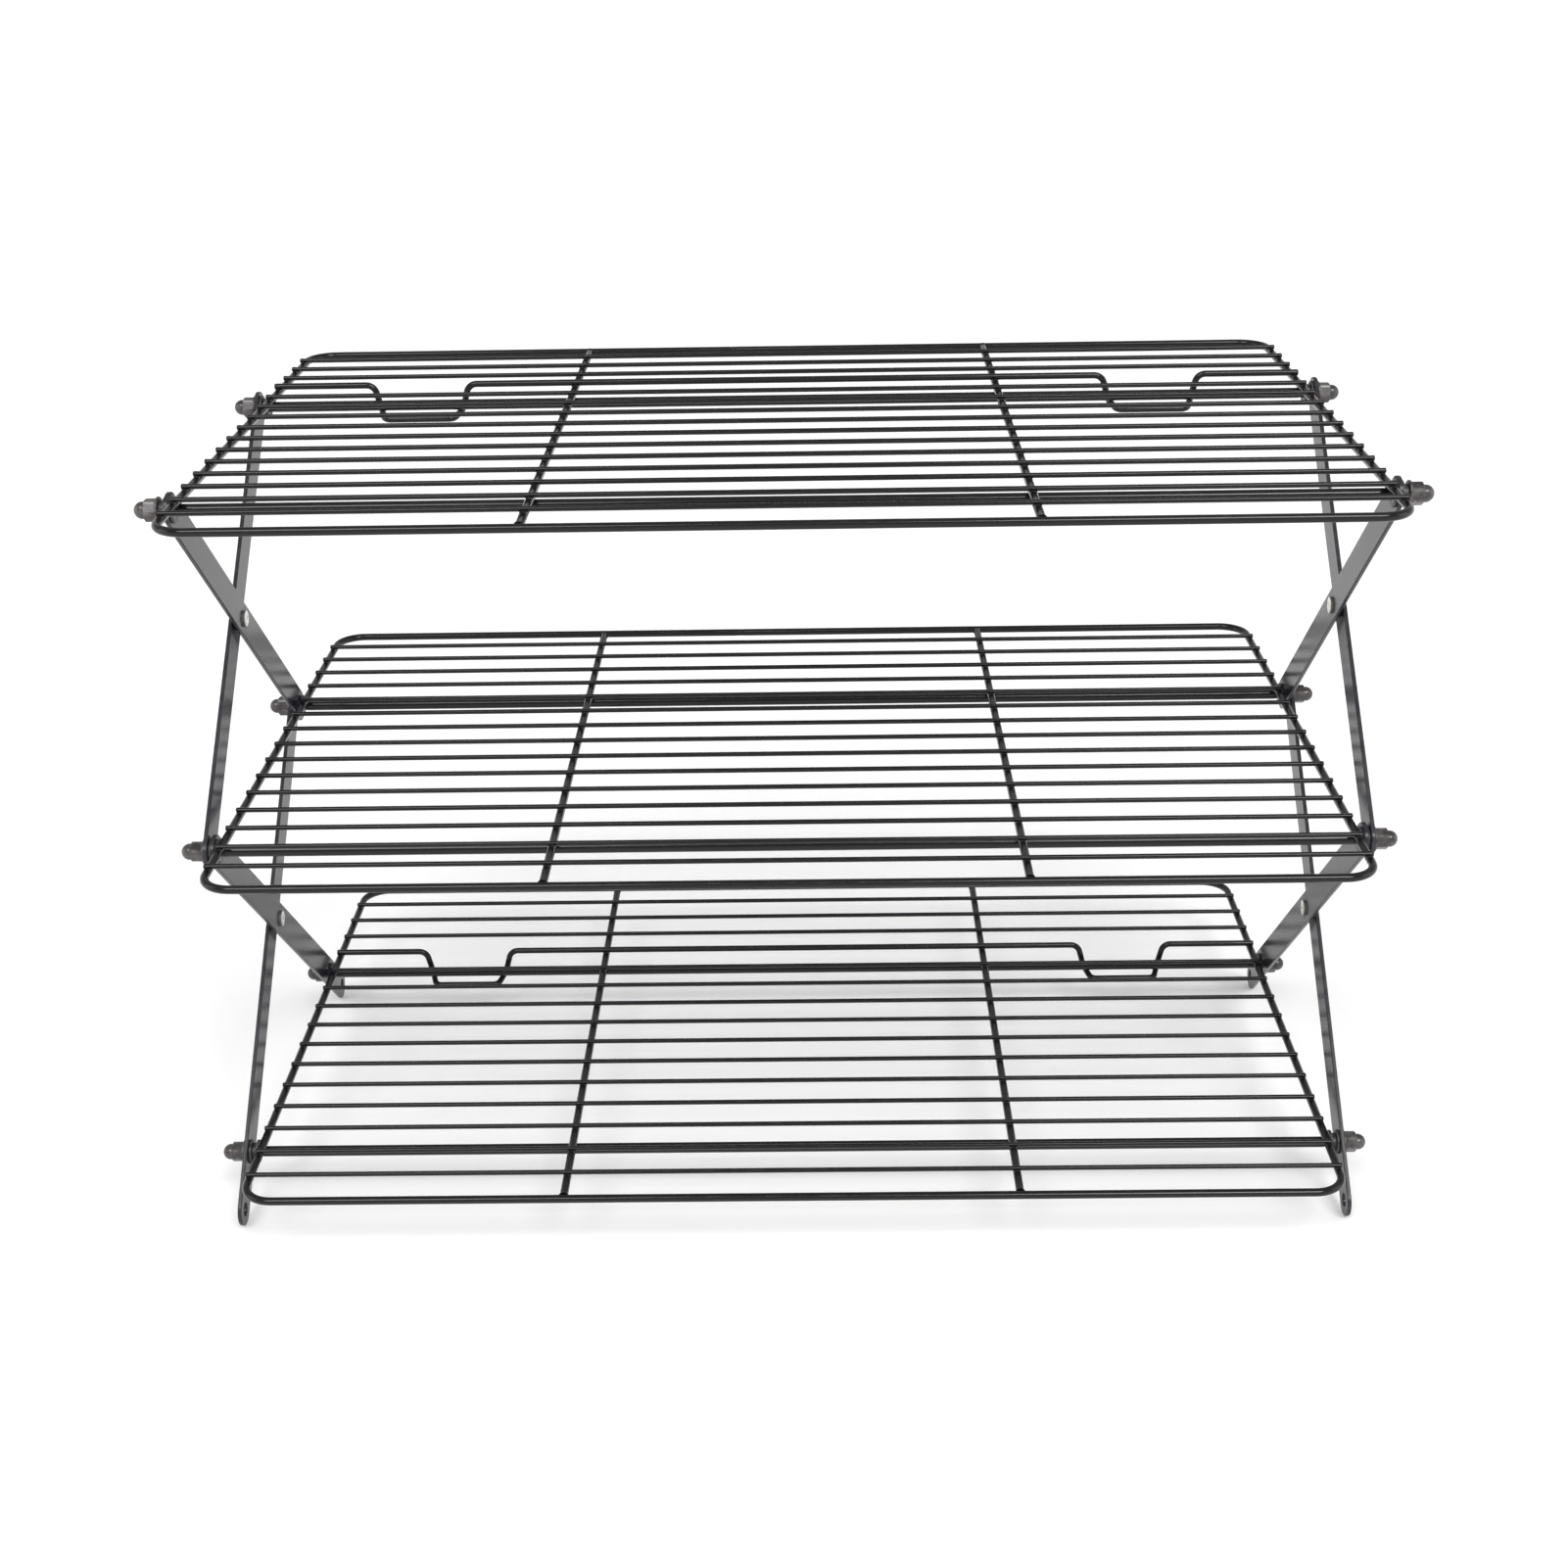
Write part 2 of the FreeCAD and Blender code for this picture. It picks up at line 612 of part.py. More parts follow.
def rivet(label, side, y, z):
    """A rivet with a domed head inside and a flatter formed end outside."""
    body = subpart("PartDesign::Body", label)
    outer_face = f"{OUTER_ARM_X} + Sizes.arm_thickness + Sizes.axial_play"
    inner = num(INNER_ARM_X)
    outer = num(outer_face)
    shank = num(ROD_RADIUS)
    head = num("Sizes.rivet_head_dia / 2")
    tail = num("Sizes.rivet_tail_dia / 2")
    profile = sketch_on(body, "XY_Plane", f"{label}_profile")

    def dome(rim_x, rim_radius, height, sign):
        curve = (rim_radius ** 2 + height ** 2) / (2 * height)
        centre = Vector(rim_x - sign * (curve - height), 0, 0)
        half = math.asin(rim_radius / curve)
        angles = (0, half) if sign > 0 else (math.pi - half, math.pi)
        return Part.ArcOfCircle(Part.Circle(centre, Z_AXIS, curve), *angles)

    head_arc = dome(inner, head, num("Sizes.rivet_head_height"), -1)
    tail_arc = dome(outer, tail, num("Sizes.rivet_tail_height"), 1)
    path = (
        head_arc,
        Part.LineSegment(Vector(inner, head, 0), Vector(inner, shank, 0)),
        Part.LineSegment(Vector(inner, shank, 0), Vector(outer, shank, 0)),
        Part.LineSegment(Vector(outer, shank, 0), Vector(outer, tail, 0)),
        tail_arc,
        Part.LineSegment(tail_arc.StartPoint, head_arc.EndPoint),
    )
    arc_in, face_in, wall, face_out, arc_out, axis = (
        profile.addGeometry(edge, False) for edge in path
    )
    join(profile, "Coincident", arc_in, 1, face_in, 1)
    join(profile, "Coincident", face_in, 2, wall, 1)
    join(profile, "Coincident", wall, 2, face_out, 1)
    join(profile, "Coincident", face_out, 2, arc_out, 2)
    join(profile, "Coincident", arc_out, 1, axis, 1)
    join(profile, "Coincident", axis, 2, arc_in, 2)
    for point in ((arc_in, 2), (arc_out, 1), (arc_in, 3), (arc_out, 3)):
        join(profile, "PointOnObject", *point, -1)
    for upright in (face_in, face_out):
        join(profile, "Vertical", upright)
    join(profile, "Horizontal", wall)
    dimension(profile, "shank", "DistanceY", (-1, 1, wall, 1), ROD_RADIUS)
    dimension(profile, "head", "DistanceY", (-1, 1, face_in, 1), "Sizes.rivet_head_dia / 2")
    dimension(profile, "tail", "DistanceY", (-1, 1, face_out, 2), "Sizes.rivet_tail_dia / 2")
    dimension(profile, "inner", "DistanceX", (-1, 1, wall, 1), INNER_ARM_X)
    dimension(profile, "outer", "DistanceX", (-1, 1, wall, 2), outer_face)
    dimension(profile, "head_height", "DistanceX", (axis, 2, wall, 1), "Sizes.rivet_head_height")
    dimension(profile, "tail_height", "DistanceX", (wall, 2, axis, 1), "Sizes.rivet_tail_height")
    turned = body.newObject("PartDesign::Revolution", f"{label}_turned")
    turned.Profile = profile
    turned.ReferenceAxis = (profile, ["H_Axis"])
    place(body, y=y, z=z, axis=Z_AXIS, angle=0.0 if SIDES[side] > 0 else 180.0)


def build_shelf(tier):
    """A shelf with its rods, washers and nuts."""
    has_latch = tier != "middle"
    rows = [row for row in range(1, CROSS_WIRE_COUNT + 1) if not (has_latch and row == LATCH_ROW)]
    shelf_frame(tier)
    for side in SIDES:
        stay_wire(tier, side)
    cross_wires(tier, rows)
    if has_latch:
        latch_wire(tier)
    for end in ROD_Y:
        tie_rod(tier, end, welded=not has_latch and end == "back")
        rod_washers(tier, end)
        cap_nuts(tier, end)


def build_arms(upper_tier, level):
    """The four arms that hang from a shelf's rods, with their rivets."""
    fall = math.degrees(math.atan2(num("Sizes.tier_gap"), num("Sizes.rod_gap")))
    has_foot = level == "lower"
    y, z = crossing(upper_tier)
    for side in SIDES:
        flat_arm(
            f"{level}_inner_arm_{side}",
            side,
            INNER_ARM_X,
            (upper_tier, "front"),
            -fall,
            has_foot,
            open_pivot=False,
        )
        flat_arm(
            f"{level}_outer_arm_{side}",
            side,
            OUTER_ARM_X,
            (upper_tier, "back"),
            180 + fall,
            has_foot,
            open_pivot=not has_foot,
        )
        rivet(f"{level}_rivet_{side}", side, y, z)
    ring_pair(
        f"{level}_rivet_washers",
        f"{INNER_ARM_X} + Sizes.arm_thickness + Sizes.axial_play",
        y,
        z,
        "Sizes.washer_dia",
        "Sizes.washer_bore",
        "Sizes.washer_thickness",
    )


def check_document():
    """Stop if any feature failed or any sub-part isn't a sound solid."""
    doc.recompute()
    for item in doc.Objects:
        if "Invalid" in item.State or "Error" in item.State:
            raise RuntimeError(f"{item.Label} failed: {item.State}")
    for item in subparts:
        if item.Shape.isNull() or not item.Shape.isValid() or not item.Shape.Solids:
            raise RuntimeError(f"{item.Label} has no sound solid")


for tier_name in TIERS:
    build_shelf(tier_name)
build_arms("middle", "lower")
build_arms("top", "upper")
arm_spacers("bottom", "front", INNER_ARM_X)
arm_spacers("top", "front", OUTER_ARM_X)
arm_spacers("top", "back", INNER_ARM_X)
check_document()

os.makedirs("parts", exist_ok=True)
for item in subparts:
    item.Shape.exportStep(f"parts/{item.Label}.step")
print(len(subparts), "sub-parts written")
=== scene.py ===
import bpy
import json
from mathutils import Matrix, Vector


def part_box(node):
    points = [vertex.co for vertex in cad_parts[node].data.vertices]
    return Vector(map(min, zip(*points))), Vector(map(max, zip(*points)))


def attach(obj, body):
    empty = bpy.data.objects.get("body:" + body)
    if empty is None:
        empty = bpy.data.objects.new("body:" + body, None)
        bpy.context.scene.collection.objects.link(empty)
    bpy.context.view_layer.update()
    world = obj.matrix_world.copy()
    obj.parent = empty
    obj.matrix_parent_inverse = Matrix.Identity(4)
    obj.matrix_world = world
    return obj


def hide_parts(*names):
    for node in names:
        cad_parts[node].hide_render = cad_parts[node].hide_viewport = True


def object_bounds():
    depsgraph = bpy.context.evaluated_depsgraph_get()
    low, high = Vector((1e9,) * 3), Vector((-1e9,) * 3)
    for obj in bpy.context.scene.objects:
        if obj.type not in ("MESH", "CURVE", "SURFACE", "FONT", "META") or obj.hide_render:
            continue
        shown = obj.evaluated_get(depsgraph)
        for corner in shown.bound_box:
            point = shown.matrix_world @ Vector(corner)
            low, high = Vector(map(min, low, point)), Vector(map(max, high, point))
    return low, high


bl_info = {
    "name": "Folding Cooling Rack",
    "version": (1, 0, 0),
    "blender": (4, 5, 0),
    "location": "View3D > Sidebar > Cooling Rack",
    "description": "Builds the wires, arms and fixings of a three-shelf folding cooling rack",
    "category": "Object",
}

import json
import math
import random

import bmesh
import bpy
from bpy.props import FloatProperty, FloatVectorProperty, IntProperty, PointerProperty
from mathutils import Matrix, Vector

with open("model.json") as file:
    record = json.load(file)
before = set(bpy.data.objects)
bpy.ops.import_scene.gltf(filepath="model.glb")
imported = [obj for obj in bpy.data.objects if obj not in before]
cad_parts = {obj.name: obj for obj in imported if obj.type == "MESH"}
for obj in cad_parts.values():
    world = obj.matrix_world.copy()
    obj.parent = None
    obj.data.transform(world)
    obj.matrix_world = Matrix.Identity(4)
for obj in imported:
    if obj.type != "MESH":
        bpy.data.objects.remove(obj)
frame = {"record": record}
cad_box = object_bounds()

# Everything is in metres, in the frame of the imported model: X along the shelves, +Y to the back,
# +Z up.  Small lengths are written as millimetres times MM.

MM = 0.001

TIERS = ("bottom", "middle", "top")
ENDS = ("front", "back")
SIDES = ("left", "right")
LEVELS = ("lower", "upper")
X_AXIS = Vector((1, 0, 0))
Z_AXIS = Vector((0, 0, 1))

BODIES = frame["record"]["behaviour"]["bodies"]
BODY_OF = {node: body for body, nodes in BODIES.items() for node in nodes}


def size_of(node):
    """A CAD node's length, depth and height."""
    low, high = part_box(node)
    return high - low


def middle_of(node):
    """The middle of a CAD node's box."""
    low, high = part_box(node)
    return (low + high) / 2


WIRE_ROWS = 15
LATCH_ROW = 12
ARM_REACH = (middle_of("top_front_rod") - middle_of("middle_back_rod")).length


# Sizes and colours


def amount(name, description, default, **kind):
    """A number that isn't negative."""
    return FloatProperty(name=name, description=description, default=default, min=0.0, **kind)


def length(name, description, default):
    """A size in metres."""
    return amount(name, description, default, precision=5, unit="LENGTH")


def angle_of(name, description, degrees):
    """An angle, kept in radians."""
    return amount(name, description, math.radians(degrees), subtype="ANGLE", unit="ROTATION")


def triple(name, description, default, **kind):
    """Three numbers, such as a place or a colour."""
    return FloatVectorProperty(name=name, description=description, default=default, size=3, **kind)


def position(name, description, default):
    """A place in metres."""
    return triple(name, description, default, subtype="TRANSLATION", unit="LENGTH")


def colour(name, description, default):
    """A linear colour."""
    return triple(name, description, default, min=0.0, max=1.0, subtype="COLOR")


class RackSizes(bpy.types.PropertyGroup):
    """Sizes of the rack's wires, bars and fixings."""

    frame_wire: length("Frame wire", "Diameter of the wire round each shelf",
                       size_of("bottom_stay_left").z)
    frame_corner: length("Frame corner", "Centreline radius of a shelf frame's corners", 11.0 * MM)
    cross_wire: length("Cross wire", "Diameter of the thin wires", size_of("bottom_cross_wires").z)
    latch_wire: length("Latch wire", "Diameter of the wire with the two latch loops", 2.5 * MM)
    latch_spacing: length("Latch spacing", "Distance between the two loops' middles", 284.0 * MM)
    latch_mouth: length("Latch mouth", "Width of a loop where it leaves the shelf", 37.0 * MM)
    latch_base: length("Latch base", "Width of a loop at its lowest run", 27.0 * MM)
    latch_heel_drop: length("Latch heel drop", "How far a loop's heels lie below the wire", 9.4 * MM)
    latch_heel_reach: length("Latch heel reach", "How far a loop's heels lie before the wire", 1.2 * MM)
    latch_shoulder: length("Latch shoulder", "Bend radius where a loop leaves the shelf", 4.0 * MM)
    latch_bend: length("Latch bend", "Bend radius inside a loop", 3.0 * MM)
    rod: length("Tie rod", "Diameter of the tie rods", size_of("bottom_front_rod").z)
    thread_length: length("Thread length", "Length of thread at each end of a rod", 13.0 * MM)
    thread_pitch: length("Thread pitch", "Distance between two turns of the thread", 0.7 * MM)
    thread_depth: length("Thread depth", "Depth of the thread", 0.3 * MM)
    arm_width: length("Arm width", "Width of the flat arms", 12.0 * MM)
    arm_edge: length("Arm edge", "Roundness of the arms' edges", 0.3 * MM)
    pivot_hole: length("Pivot hole", "Diameter of the arms' pivot holes", 4.16 * MM)
    open_hole: length("Open pivot hole", "Diameter of the upper outer arms' low holes", 4.5 * MM)
    foot_hole: length("Foot hole", "Diameter of the holes in the feet", 5.0 * MM)
    washer_bore: length("Washer bore", "Diameter of the holes in washers and spacers", 4.3 * MM)
    washer_thick: length("Washer thickness", "Thickness of a washer", 0.8 * MM)
    washer_step: length("Washer step", "Distance from one washer on a rod to the next", 2.5 * MM)
    spacer_length: length("Spacer length", "Length of a tube in place of an arm", 1.7 * MM)
    nut_flats: length("Nut flats", "Width of the nuts' hexagon across its flats", 7.0 * MM)
    nut_hexagon: length("Nut hexagon", "Height of the nuts' hexagon", 4.2 * MM)
    nut_height: length("Nut height", "Height of a nut with its dome", 8.0 * MM)
    nut_dome: length("Nut dome", "Diameter of the nuts' dome", 5.9 * MM)
    nut_bore: length("Nut bore", "Depth of the nuts' thread", 5.6 * MM)
    nut_bevel: angle_of("Nut bevel", "Slope of the bevel that cuts the nuts' corners", 30)
    rivet_head: length("Rivet head", "Height of the rivets' inner head", 1.3 * MM)
    rivet_rim: length("Rivet rim", "Height of the straight wall round the inner head", 0.85 * MM)
    rivet_tail: length("Rivet tail", "Height of the rivets' outer end", 1.1 * MM)
    rivet_tail_dia: length("Rivet tail width", "Diameter of the rivets' outer end", 6.0 * MM)
    weld_spread: length("Weld spread", "How far a weld runs out along the wires", 0.55 * MM)


class RackColours(bpy.types.PropertyGroup):
    """Colours of the rack's finishes."""

    wire: colour("Wire coat", "Coating of the shelf wires", (0.0078, 0.0074, 0.0080))
    wire_pale: colour("Wire coat, pale", "Coating where it is thin", (0.020, 0.0194, 0.0200))
    rod: colour("Rod coat", "Coating of the tie rods", (0.0082, 0.0080, 0.0088))
    arm: colour("Arm coat", "Coating of the flat arms", (0.021, 0.0215, 0.0265))
    arm_pale: colour("Arm coat, pale", "Coating where it is rubbed", (0.052, 0.053, 0.059))
    nut: colour("Nut coat", "Coating of the cap nuts", (0.030, 0.0282, 0.0288))
    nut_pale: colour("Nut coat, pale", "Coating on the nuts' corners", (0.130, 0.117, 0.111))
    washer: colour("Washer coat", "Coating of washers and spacers", (0.019, 0.0185, 0.0190))
    rivet: colour("Rivet steel", "Bare steel of the rivets", (0.72, 0.70, 0.67))
    # The rivets' dark colour is their tarnish, and also painted shade on the wall round each inner head.
    rivet_dark: colour("Rivet tarnish", "Tarnish on the rivets", (0.085, 0.078, 0.068))


class RackStage(bpy.types.PropertyGroup):
    """Camera, lights and floor."""

    camera_place: position("Camera place", "Where the camera stands", (0.01017, -0.78350, 0.47388))
    camera_turn: triple(
        "Camera turn", "How the camera is turned",
        (math.radians(66.3725), math.radians(0.9259), math.radians(0.4925)),
        subtype="EULER", unit="ROTATION",
    )
    camera_lens: amount("Camera lens", "Focal length", 50.15, unit="CAMERA")
    floor: colour("Floor", "Colour of the floor", (0.86, 0.86, 0.855))
    floor_glow: amount("Floor glow", "How brightly the floor panel is lit from below", 0.22)
    floor_width: length("Floor width", "Length of the floor's sides", 60.0)
    backdrop: colour("Backdrop", "Light from the level of the floor's far edge", (1.0, 1.0, 1.0))
    room: colour("Room", "Light from the darker room above the backdrop", (0.40, 0.40, 0.405))
    key_strength: amount("Key light", "Strength of the soft light above the front", 2.6)
    key_spread: angle_of("Key spread", "How wide the soft light above the front looks", 24)
    key_place: position("Key place", "Where the soft light stands, to the right and mirrored",
                        (0.28, -0.62, 0.74))
    key_left: amount("Key share, left", "Part of the soft light that comes from the left", 0.42)
    key_right: amount("Key share, right", "Part of the soft light that comes from the right", 0.62)
    side_power: amount("Side lights", "Power of each of the two side lights", 3.5, unit="POWER")
    side_place: position("Side place", "Where the right side light stands; the left is mirrored",
                         (1.6, -0.3, 0.7))
    seed: IntProperty(
        name="Seed", description="Changes how the nuts are turned and the welds lie", default=7,
        min=0,
    )


# Shapes


class Skin:
    """Points and faces of a piece, gathered before they become a mesh."""

    def __init__(self):
        self.points = []
        self.faces = []

    def add_rings(self, rings, closed=False):
        """Quads from ring to ring; an open run gets a flat face at each end."""
        count = len(rings[0])
        first = len(self.points)
        for ring in rings:
            self.points.extend(ring)
        steps = len(rings) if closed else len(rings) - 1
        for step in range(steps):
            here = first + step * count
            there = first + (step + 1) % len(rings) * count
            for side in range(count):
                following = (side + 1) % count
                self.faces.append((here + side, here + following, there + following, there + side))
        if not closed:
            last = first + (len(rings) - 1) * count
            self.faces.append(tuple(reversed(range(first, first + count))))
            self.faces.append(tuple(range(last, last + count)))

    def to_mesh(self, name, sharp_angle=40.0):
        """A smooth mesh with its faces turned outwards."""
        mesh = bpy.data.meshes.new(name)
        mesh.from_pydata([tuple(point) for point in self.points], [], self.faces)
        face_out(mesh)
        mesh.shade_smooth()
        mesh.set_sharp_from_angle(angle=math.radians(sharp_angle))
        return mesh


def face_out(mesh):
    """Turn a closed mesh's faces outwards."""
    work = bmesh.new()
    work.from_mesh(mesh)
    bmesh.ops.recalc_face_normals(work, faces=work.faces)
    work.to_mesh(mesh)
    work.free()


def ring_mesh(name, rings, closed=False, sharp_angle=40.0):
    """A mesh of one run of rings."""
    skin = Skin()
    skin.add_rings(rings, closed)
    return skin.to_mesh(name, sharp_angle)


def circle_angles(count):
    """Equal steps round a circle."""
    return [math.tau * step / count for step in range(count)]


def swept_rings(path, radii, sides=24, closed=False):
    """Rings round each point of a path, turned as little as possible from one to the next."""
    count = len(path)
    tangents = []
    for spot in range(count):
        before = path[(spot - 1) % count] if closed or spot else path[0]
        after = path[(spot + 1) % count] if closed or spot < count - 1 else path[-1]
        tangents.append((after - before).normalized())
    across = tangents[0].orthogonal().normalized()
    if abs(tangents[0].z) < 0.5:
        across = Z_AXIS.cross(tangents[0]).normalized()
    rings = []
    for spot, tangent in enumerate(tangents):
        if spot:
            across = tangents[spot - 1].rotation_difference(tangent) @ across
        across = (across - tangent * across.dot(tangent)).normalized()
        up = tangent.cross(across)
        rings.append([
            path[spot] + (across * math.cos(angle) + up * math.sin(angle)) * radii[spot]
            for angle in circle_angles(sides)
        ])
    return rings


def turned_rings(profile, y, z, side, sides=48):
    """Rings round an axis along X, from a profile of distances along it and radii."""
    return [
        [
            Vector((side * x, y + radius * math.cos(angle), z + radius * math.sin(angle)))
            for angle in circle_angles(sides)
        ]
        for x, radius in profile
    ]


def rounded_path(points, bends, steps=8):
    """Straight runs through points, with an arc of steps parts at each inner one."""
    path = [points[0]]
    for before, corner, after, radius in zip(points, points[1:], points[2:], bends):
        arriving = (corner - before).normalized()
        leaving = (after - corner).normalized()
        half_turn = arriving.angle(leaving) / 2
        cut = radius * math.tan(half_turn)
        inward = (leaving - arriving).normalized()
        centre = corner + inward * radius / math.cos(half_turn)
        start = corner - arriving * cut - centre
        axis = arriving.cross(leaving).normalized()
        for step in range(steps + 1):
            turned = Matrix.Rotation(2 * half_turn * step / steps, 3, axis) @ start
            path.append(centre + turned)
    path.append(points[-1])
    return path


def cut_end(path, radius, gather=1.0):
    """A path whose ends are rounded off; the coat may gather there to gather times the radius."""
    inset = (0.0, 0.12, 0.35, 0.8, 1.8, 3.2)
    swell = gather - 1
    shares = (0.6, 0.88, 0.97 + swell, 1 + swell, 1 + swell * 0.5, 1.0)
    first = (path[1] - path[0]).normalized()
    last = (path[-2] - path[-1]).normalized()
    start = [path[0] + first * radius * step for step in inset]
    end = [path[-1] + last * radius * step for step in reversed(inset)]
    radii = [radius * share for share in shares]
    middle = path[1:-1]
    return start + middle + end, radii + [radius] * len(middle) + radii[::-1]


def new_piece(name, mesh, finish, body, node=None):
    """A shown piece that rides on a body and may stand for a CAD node."""
    mesh.materials.clear()
    mesh.materials.append(finish)
    piece = bpy.data.objects.new(name, mesh)
    bpy.context.scene.collection.objects.link(piece)
    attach(piece, body)
    if node:
        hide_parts(node)
    return piece


def stand_for(node, mesh, finish, ending="coated"):
    """A piece in place of a CAD node, on the same body."""
    return new_piece(f"{node}_{ending}", mesh, finish, BODY_OF[node], node)


# Finishes


class Signal:
    """A shader value, on which arithmetic adds Math nodes."""

    def __init__(self, nodes, socket):
        self.nodes = nodes
        self.socket = socket

    def maths(self, operation, *values):
        """The result of a Math node."""
        return self.nodes.node("ShaderNodeMath", {"operation": operation}, dict(enumerate(values)))

    def __add__(self, other):
        return self.maths("ADD", self, other)

    def __sub__(self, other):
        return self.maths("SUBTRACT", self, other)

    def __rsub__(self, other):
        return self.maths("SUBTRACT", other, self)

    def __mul__(self, other):
        return self.maths("MULTIPLY", self, other)

    def __pow__(self, other):
        return self.maths("POWER", self, other)

    __radd__ = __add__
    __rmul__ = __mul__

    def at_least(self, other):
        """The larger of two values."""
        return self.maths("MAXIMUM", self, other)

    def step(self, low, high):
        """0 before low, 1 past high, smooth in between; low may be the larger."""
        return self.nodes.node(
            "ShaderNodeMapRange",
            {"interpolation_type": "SMOOTHSTEP"},
            {"Value": self, "From Min": low, "From Max": high},
        )


def opaque(tint):
    """A colour's three numbers as a socket's four."""
    return (*tint, 1.0)


class Nodes:
    """The nodes of a material or of the surroundings, written as expressions."""

    def __init__(self, owner):
        owner.use_nodes = True
        self.tree = owner.node_tree
        self.tree.nodes.clear()

    def node(self, kind, settings=None, inputs=None, output=0):
        """A node with its settings made first; gives one of its outputs."""
        made = self.tree.nodes.new(kind)
        for name, value in (settings or {}).items():
            setattr(made, name, value)
        for name, value in (inputs or {}).items():
            if isinstance(value, Signal):
                self.tree.links.new(value.socket, made.inputs[name])
            else:
                made.inputs[name].default_value = value
        return Signal(self, made.outputs[output]) if made.outputs else None

    def blend(self, share, first, second):
        """A colour between two."""
        return self.node("ShaderNodeMix", {"data_type": "RGBA"},
                         {0: share, 6: opaque(first), 7: opaque(second)}, output=2)

    def stretched(self, vector, factors):
        """A vector times fixed factors."""
        return self.node("ShaderNodeVectorMath", {"operation": "MULTIPLY"}, {0: vector, 1: factors})

    def apart(self, vector):
        """A vector's three numbers."""
        return [self.node("ShaderNodeSeparateXYZ", inputs={0: vector}, output=axis) for axis in range(3)]


class Finish(Nodes):
    """A material."""

    def __init__(self, name):
        self.material = bpy.data.materials.new(name)
        super().__init__(self.material)
        self.place = self.node("ShaderNodeTexCoord", output="Object")

    def noise(self, scale, detail=2.0, vector=None, roughness=0.5):
        """Cloudy noise from 0 to 1, scale to the metre."""
        return self.node(
            "ShaderNodeTexNoise",
            inputs={"Vector": vector or self.place, "Scale": scale, "Detail": detail,
                    "Roughness": roughness},
        )

    def bump(self, height, distance, strength):
        """A surface normal from a height, with its full range distance deep."""
        return self.node("ShaderNodeBump", inputs={"Height": height, "Distance": distance,
                                                   "Strength": strength})

    def from_axis(self):
        """The distance from a turned piece's axis, which mark_axis has stored."""
        ring = self.node("ShaderNodeAttribute", {"attribute_name": "ring"}, output="Vector")
        return self.node("ShaderNodeVectorMath", {"operation": "LENGTH"}, {0: ring}, output=1)

    def surface(self, **inputs):
        """The one shader and the output."""
        named = {name.replace("_", " "): value for name, value in inputs.items()}
        shader = self.node("ShaderNodeBsdfPrincipled", inputs=named)
        self.node("ShaderNodeOutputMaterial", inputs={"Surface": shader})
        return self.material


WIRE_SHINE = 0.32
ARM_SHINE = 0.28


def made_once(build):
    """Let a finish be built the first time only, and found by its name after that."""
    def find_or_build(name, *settings):
        return bpy.data.materials.get(name) or build(Finish(name), *settings)

    return find_or_build


@made_once
def coat_finish(f, coat, pale, gloss, peel):
    """A baked black coat over drawn wire: orange peel, thin spots and settled dust."""
    cloud = f.noise(38.0, 4.0, roughness=0.6)
    fine = f.noise(1500.0, 2.0)
    skin = f.noise(520.0, 3.0)
    thin = (cloud + fine * 0.35).step(0.78, 0.98)
    up = f.apart(f.node("ShaderNodeTexCoord", output="Normal"))[2]
    dust = up.step(0.35, 0.95) * f.noise(210.0, 3.0).step(0.42, 0.72)
    tint = f.blend(thin * 0.6 + dust * 0.35, coat, pale)
    rough = gloss + cloud * 0.07 + fine * 0.03 + dust * 0.10
    normal = f.bump(skin * 0.7 + fine * 0.3, peel, 0.6)
    return f.surface(Base_Color=tint, Roughness=rough, Normal=normal, Specular_IOR_Level=WIRE_SHINE)


def wire_finish(colours):
    """The coat of the shelf wires."""
    return coat_finish("wire_coat", colours.wire, colours.wire_pale, 0.10, 0.00003)


def rod_finish(colours):
    """The smoother coat of the tie rods."""
    return coat_finish("rod_coat", colours.rod, colours.wire_pale, 0.08, 0.000015)


@made_once
def weld_finish(f, colours):
    """The same coat where it has filled a rough weld."""
    lumps = f.noise(1400.0, 3.0, roughness=0.65)
    cells = f.node("ShaderNodeTexVoronoi", {"feature": "SMOOTH_F1"},
                   {"Vector": f.place, "Scale": 1100.0}, output="Distance")
    tint = f.blend(lumps.step(0.45, 0.75), colours.wire, colours.wire_pale)
    normal = f.bump(lumps + cells * 0.6, 0.00012, 0.8)
    return f.surface(Base_Color=tint, Roughness=0.30 + lumps * 0.16, Normal=normal,
                     Specular_IOR_Level=WIRE_SHINE)


